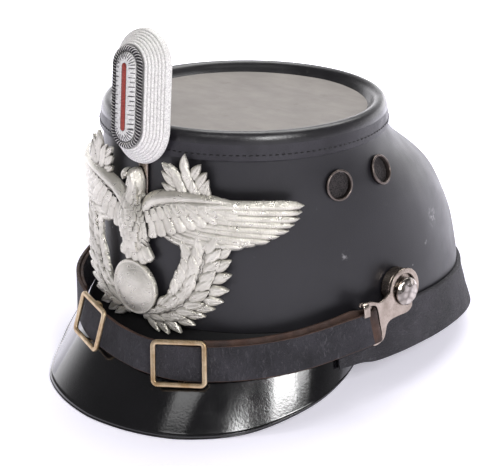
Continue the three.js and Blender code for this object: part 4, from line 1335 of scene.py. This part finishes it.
SLIT_PROFILE = [(1.25, 12.8), (1.3, 13.3), (1.3, 13.8), (1.0, 14.05), (0.3, 14.1)]
PRONG = {"width": 6.0, "thickness": 1.3, "foot": 64.0, "middle": 72.0, "bend": 79.0, "top": 88.0}


def racetrack(radius, straight_steps=72, arc_steps=72):
    """Oval in the cockade's plane: two straights joined by half circles, from the lower right upwards."""
    straight = COCKADE["straight"]
    run = np.linspace(-straight, straight, straight_steps, endpoint=False)
    turn = np.linspace(0, np.pi, arc_steps, endpoint=False)
    right = np.stack([np.full(straight_steps, radius), run], axis=-1)
    top = np.stack([radius * np.cos(turn), straight + radius * np.sin(turn)], axis=-1)
    return np.concatenate([right, top, -right, -top])


def cockade_frame():
    lean = math.radians(COCKADE["lean"])
    across = np.array([1.0, 0, 0])
    upward = np.array([0, math.sin(lean), math.cos(lean)])
    rise = COCKADE["up"] - (BAND_FOOT - 6)
    middle = np.array([COCKADE["across"], -COCKADE["front"] + rise * math.tan(lean), COCKADE["up"]])
    roll = math.radians(COCKADE["roll"])
    rolled_across = math.cos(roll) * across + math.sin(roll) * upward
    rolled_up = math.cos(roll) * upward - math.sin(roll) * across
    return middle, np.array([rolled_across, rolled_up, np.cross(across, upward)])


def oval_rings(profile):
    return [np.insert(racetrack(radius), 2, out, axis=1) for radius, out in profile]


def cockade_profile():
    """Rows of radius and height from the back edge over the ribs to the cord's groove."""
    ribs = COCKADE_RIBS
    t = np.linspace(0, 1, 10 * ribs["count"] + 1)
    rib = ribs["depth"] * np.abs(np.sin(np.pi * ribs["count"] * t)) ** 0.7
    radius = ribs["outer"] + (ribs["inner"] - ribs["outer"]) * t + 0.6 * rib
    out = ribs["low"] + (ribs["high"] - ribs["low"]) * t + 0.8 * rib - ribs["depth"] * 0.5
    return [*COCKADE_EDGE, *zip(radius, out), *CORD_GROOVE]


def ribbed_oval():
    return placed(loft(oval_rings(cockade_profile())), cockade_frame())


def threaded_middle():
    """Domed pad whose surface is drawn in by thread grooves from its edge towards the slit."""
    flat = np.array([racetrack(radius, 120, 120) for radius in PAD["radius"]])
    turn = np.linspace(0, 2 * np.pi, flat.shape[1], endpoint=False)
    groove = np.maximum(np.cos(THREADS * turn + 0.6 * np.sin(7 * turn)), 0) ** 6
    height = PAD["out"][:, None] - PAD["groove"][:, None] * groove
    return placed(loft(np.concatenate([flat, height[..., None]], axis=-1)), cockade_frame())


def pad_threads():
    """Dark threads drawn over the pad from its edge towards the slit."""
    tracks = np.array([
        np.insert(racetrack(radius, 40, 40), 2, out, axis=1) for radius, out in PAD_THREAD_PATH
    ])
    ring = np.radians(around(5))
    threads = []
    for i in range(0, tracks.shape[1], 3):
        reach = 4 + i % 2
        path = tracks[:reach, i]
        side = unit(np.cross(path[-1] - path[0], [0, 0, 1]))
        tube = np.outer(np.cos(ring), side) + np.outer(np.sin(ring), [0, 0, 1])
        threads.append(loft([point + PAD_THREAD * tube for point in path]))
    return placed(merged(threads), cockade_frame())


def cord_strand(radius, offset, phase):
    """One strand of the cord, twisted about the cord's middle line."""
    path = np.insert(racetrack(CORD["radius"], 170, 170), 2, CORD["out"], axis=1)
    along = unit(np.roll(path, -1, axis=0) - np.roll(path, 1, axis=0))
    outward = np.cross(along, [0, 0, 1])
    length = run_length(path)
    whole = length[-1] + np.linalg.norm(path[0] - path[-1])
    turn = math.radians(phase) + 2 * np.pi * CORD["twists"] * length / whole
    ring = np.radians(around(8))
    rings = []
    for middle, side, way, angle in zip(path, outward, along, turn):
        up = np.cross(side, way)
        centre = middle + offset * (math.cos(angle) * side + math.sin(angle) * up)
        rings.append(centre + radius * (np.outer(np.cos(ring), side) + np.outer(np.sin(ring), up)))
    return placed(loft(rings, loop=True), cockade_frame())


def slit_shape():
    return placed(loft(oval_rings(SLIT_PROFILE)), cockade_frame())


def prong_shape():
    band_face = crown_at(BAND_FOOT)["front"] + BAND_THICKNESS + GAP
    heights = (PRONG["foot"], PRONG["middle"], PRONG["bend"])
    wall = [(float(crown_at(height)["front"]) + GAP, height) for height in heights]
    route = wall + [(band_face + 2 * GAP, BAND_FOOT - GAP), (band_face + 2 * GAP, PRONG["top"])]
    rings = []
    for back, height in route:
        x, y = COCKADE["across"], -back - PRONG["thickness"] / 2
        section = rounded_section(PRONG["width"], PRONG["thickness"], 0.35)
        rings.append(np.stack([x + section[:, 0], y + section[:, 1], np.full(len(section), height)], axis=-1))
    return loft(rings)


silver_thread = thread_material("silver_thread", srgb(252, 250, 246), srgb(212, 209, 207), 0.1)
white_thread = thread_material("white_thread", srgb(250, 249, 247), srgb(214, 211, 209), 0.0)
black_thread = thread_material("black_thread", srgb(40, 30, 38), srgb(18, 14, 18), 0.0)
red_cloth = thread_material("red_cloth", srgb(176, 70, 58), srgb(128, 46, 40), 0.0)
oval = ribbed_oval()
back_slots = [0] * (len(oval[1]) - 2) + [1, 0]
add_piece(
    "cockade_oval", oval, [silver_thread, leather_band], "thread", ["cockade_body"],
    sharp=60, face_slots=back_slots,
)
add_piece("cockade_middle", threaded_middle(), [white_thread], "thread", ["cockade_body"], sharp=60)
add_piece("cockade_threads", pad_threads(), [black_thread], "thread", ["cockade_body"], sharp=80)
add_piece("cockade_prong", prong_shape(), [nickel], "nickel", ["cockade_body"])
cord_threads = (black_thread, black_thread, silver_thread, silver_thread)
for i, (strand, thread) in enumerate(zip(rows(CORD_STRANDS), cord_threads)):
    add_piece(f"cord_strand_{i + 1}", cord_strand(*strand), [thread], "cord", ["cockade_cord"], sharp=80)
add_piece("cockade_red", slit_shape(), [red_cloth], "red", ["cockade_slit"])

# Floor, camera and light

LOOK_SIDE = -0.01815
LOOK_UP = 0.01188
LIGHT_AIM = Vector((0, 0, 0.08))
SOFTBOXES = {
    "key": {"azimuth": 61.7, "elevation": 32, "distance": 1.6, "size": (0.3, 0.4), "power": 8.5},
    "key_side": {"azimuth": 72.5, "elevation": 32, "distance": 1.6, "size": (0.34, 0.4), "power": 3.8},
    "front": {"azimuth": 17.5, "elevation": 45, "distance": 1.6, "size": (0.6, 0.35), "power": 1.8},
    "overhead": {"azimuth": 200, "elevation": 62, "distance": 1.8, "size": (1.6, 1.2), "power": 25},
}


def add_floor():
    half = 4.0
    mesh = bpy.data.meshes.new("floor")
    corners = [(-half, -half, 0), (half, -half, 0), (half, half, 0), (-half, half, 0)]
    mesh.from_pydata(corners, [], [(0, 1, 2, 3)])
    mesh.materials.append(floor_material())
    floor = put("floor", mesh)


def add_camera():
    back = way_to(CAMERA["azimuth"], CAMERA["elevation"])
    right = way_to(CAMERA["azimuth"] + 90, 0)
    up = back.cross(right)
    centre = Vector(HAT_ORIGIN)
    lens = bpy.data.cameras.new("camera")
    lens.lens = CAMERA["lens"]
    lens.sensor_width = 36
    lens.clip_start = 0.01
    camera = put("camera", lens)
    camera.location = centre + back * CAMERA["distance"]
    look = centre + right * LOOK_SIDE + up * LOOK_UP - camera.location
    camera.rotation_euler = look.to_track_quat("-Z", "Y").to_euler()
    bpy.context.scene.camera = camera


def add_softbox(name, azimuth, elevation, distance, size, power):
    """Soft rectangular lamp that looks at the hat."""
    away = way_to(azimuth, elevation)
    light = bpy.data.lights.new(name, "AREA")
    light.shape = "RECTANGLE"
    light.size, light.size_y = size
    light.energy = power
    lamp = put(name, light)
    lamp.location = LIGHT_AIM + away * distance
    lamp.rotation_euler = (-away).to_track_quat("-Z", "Y").to_euler()


def add_world():
    """Dim studio with a pale band of backdrop at the horizon, brighter behind the hat."""
    world = bpy.data.worlds.new("studio")
    studio = Nodes(world)
    way = studio.add("ShaderNodeTexCoord").outputs["Generated"]
    behind = studio.backward(way)
    horizon = studio.slide(behind, *HORIZON_BEHIND, BACKDROP_GLOW["front"], BACKDROP_GLOW["back"])
    sky = studio.slide(studio.height(way), *HORIZON_RISE, horizon, CEILING_GLOW)
    background = studio.tree.nodes["Background"]
    studio.set(background, {"Color": STUDIO_COLOUR, "Strength": sky})
    bpy.context.scene.world = world
    bpy.context.scene.view_settings.view_transform = "Standard"


add_floor()
add_camera()
add_world()
for name, settings in SOFTBOXES.items():
    add_softbox(name, **settings)
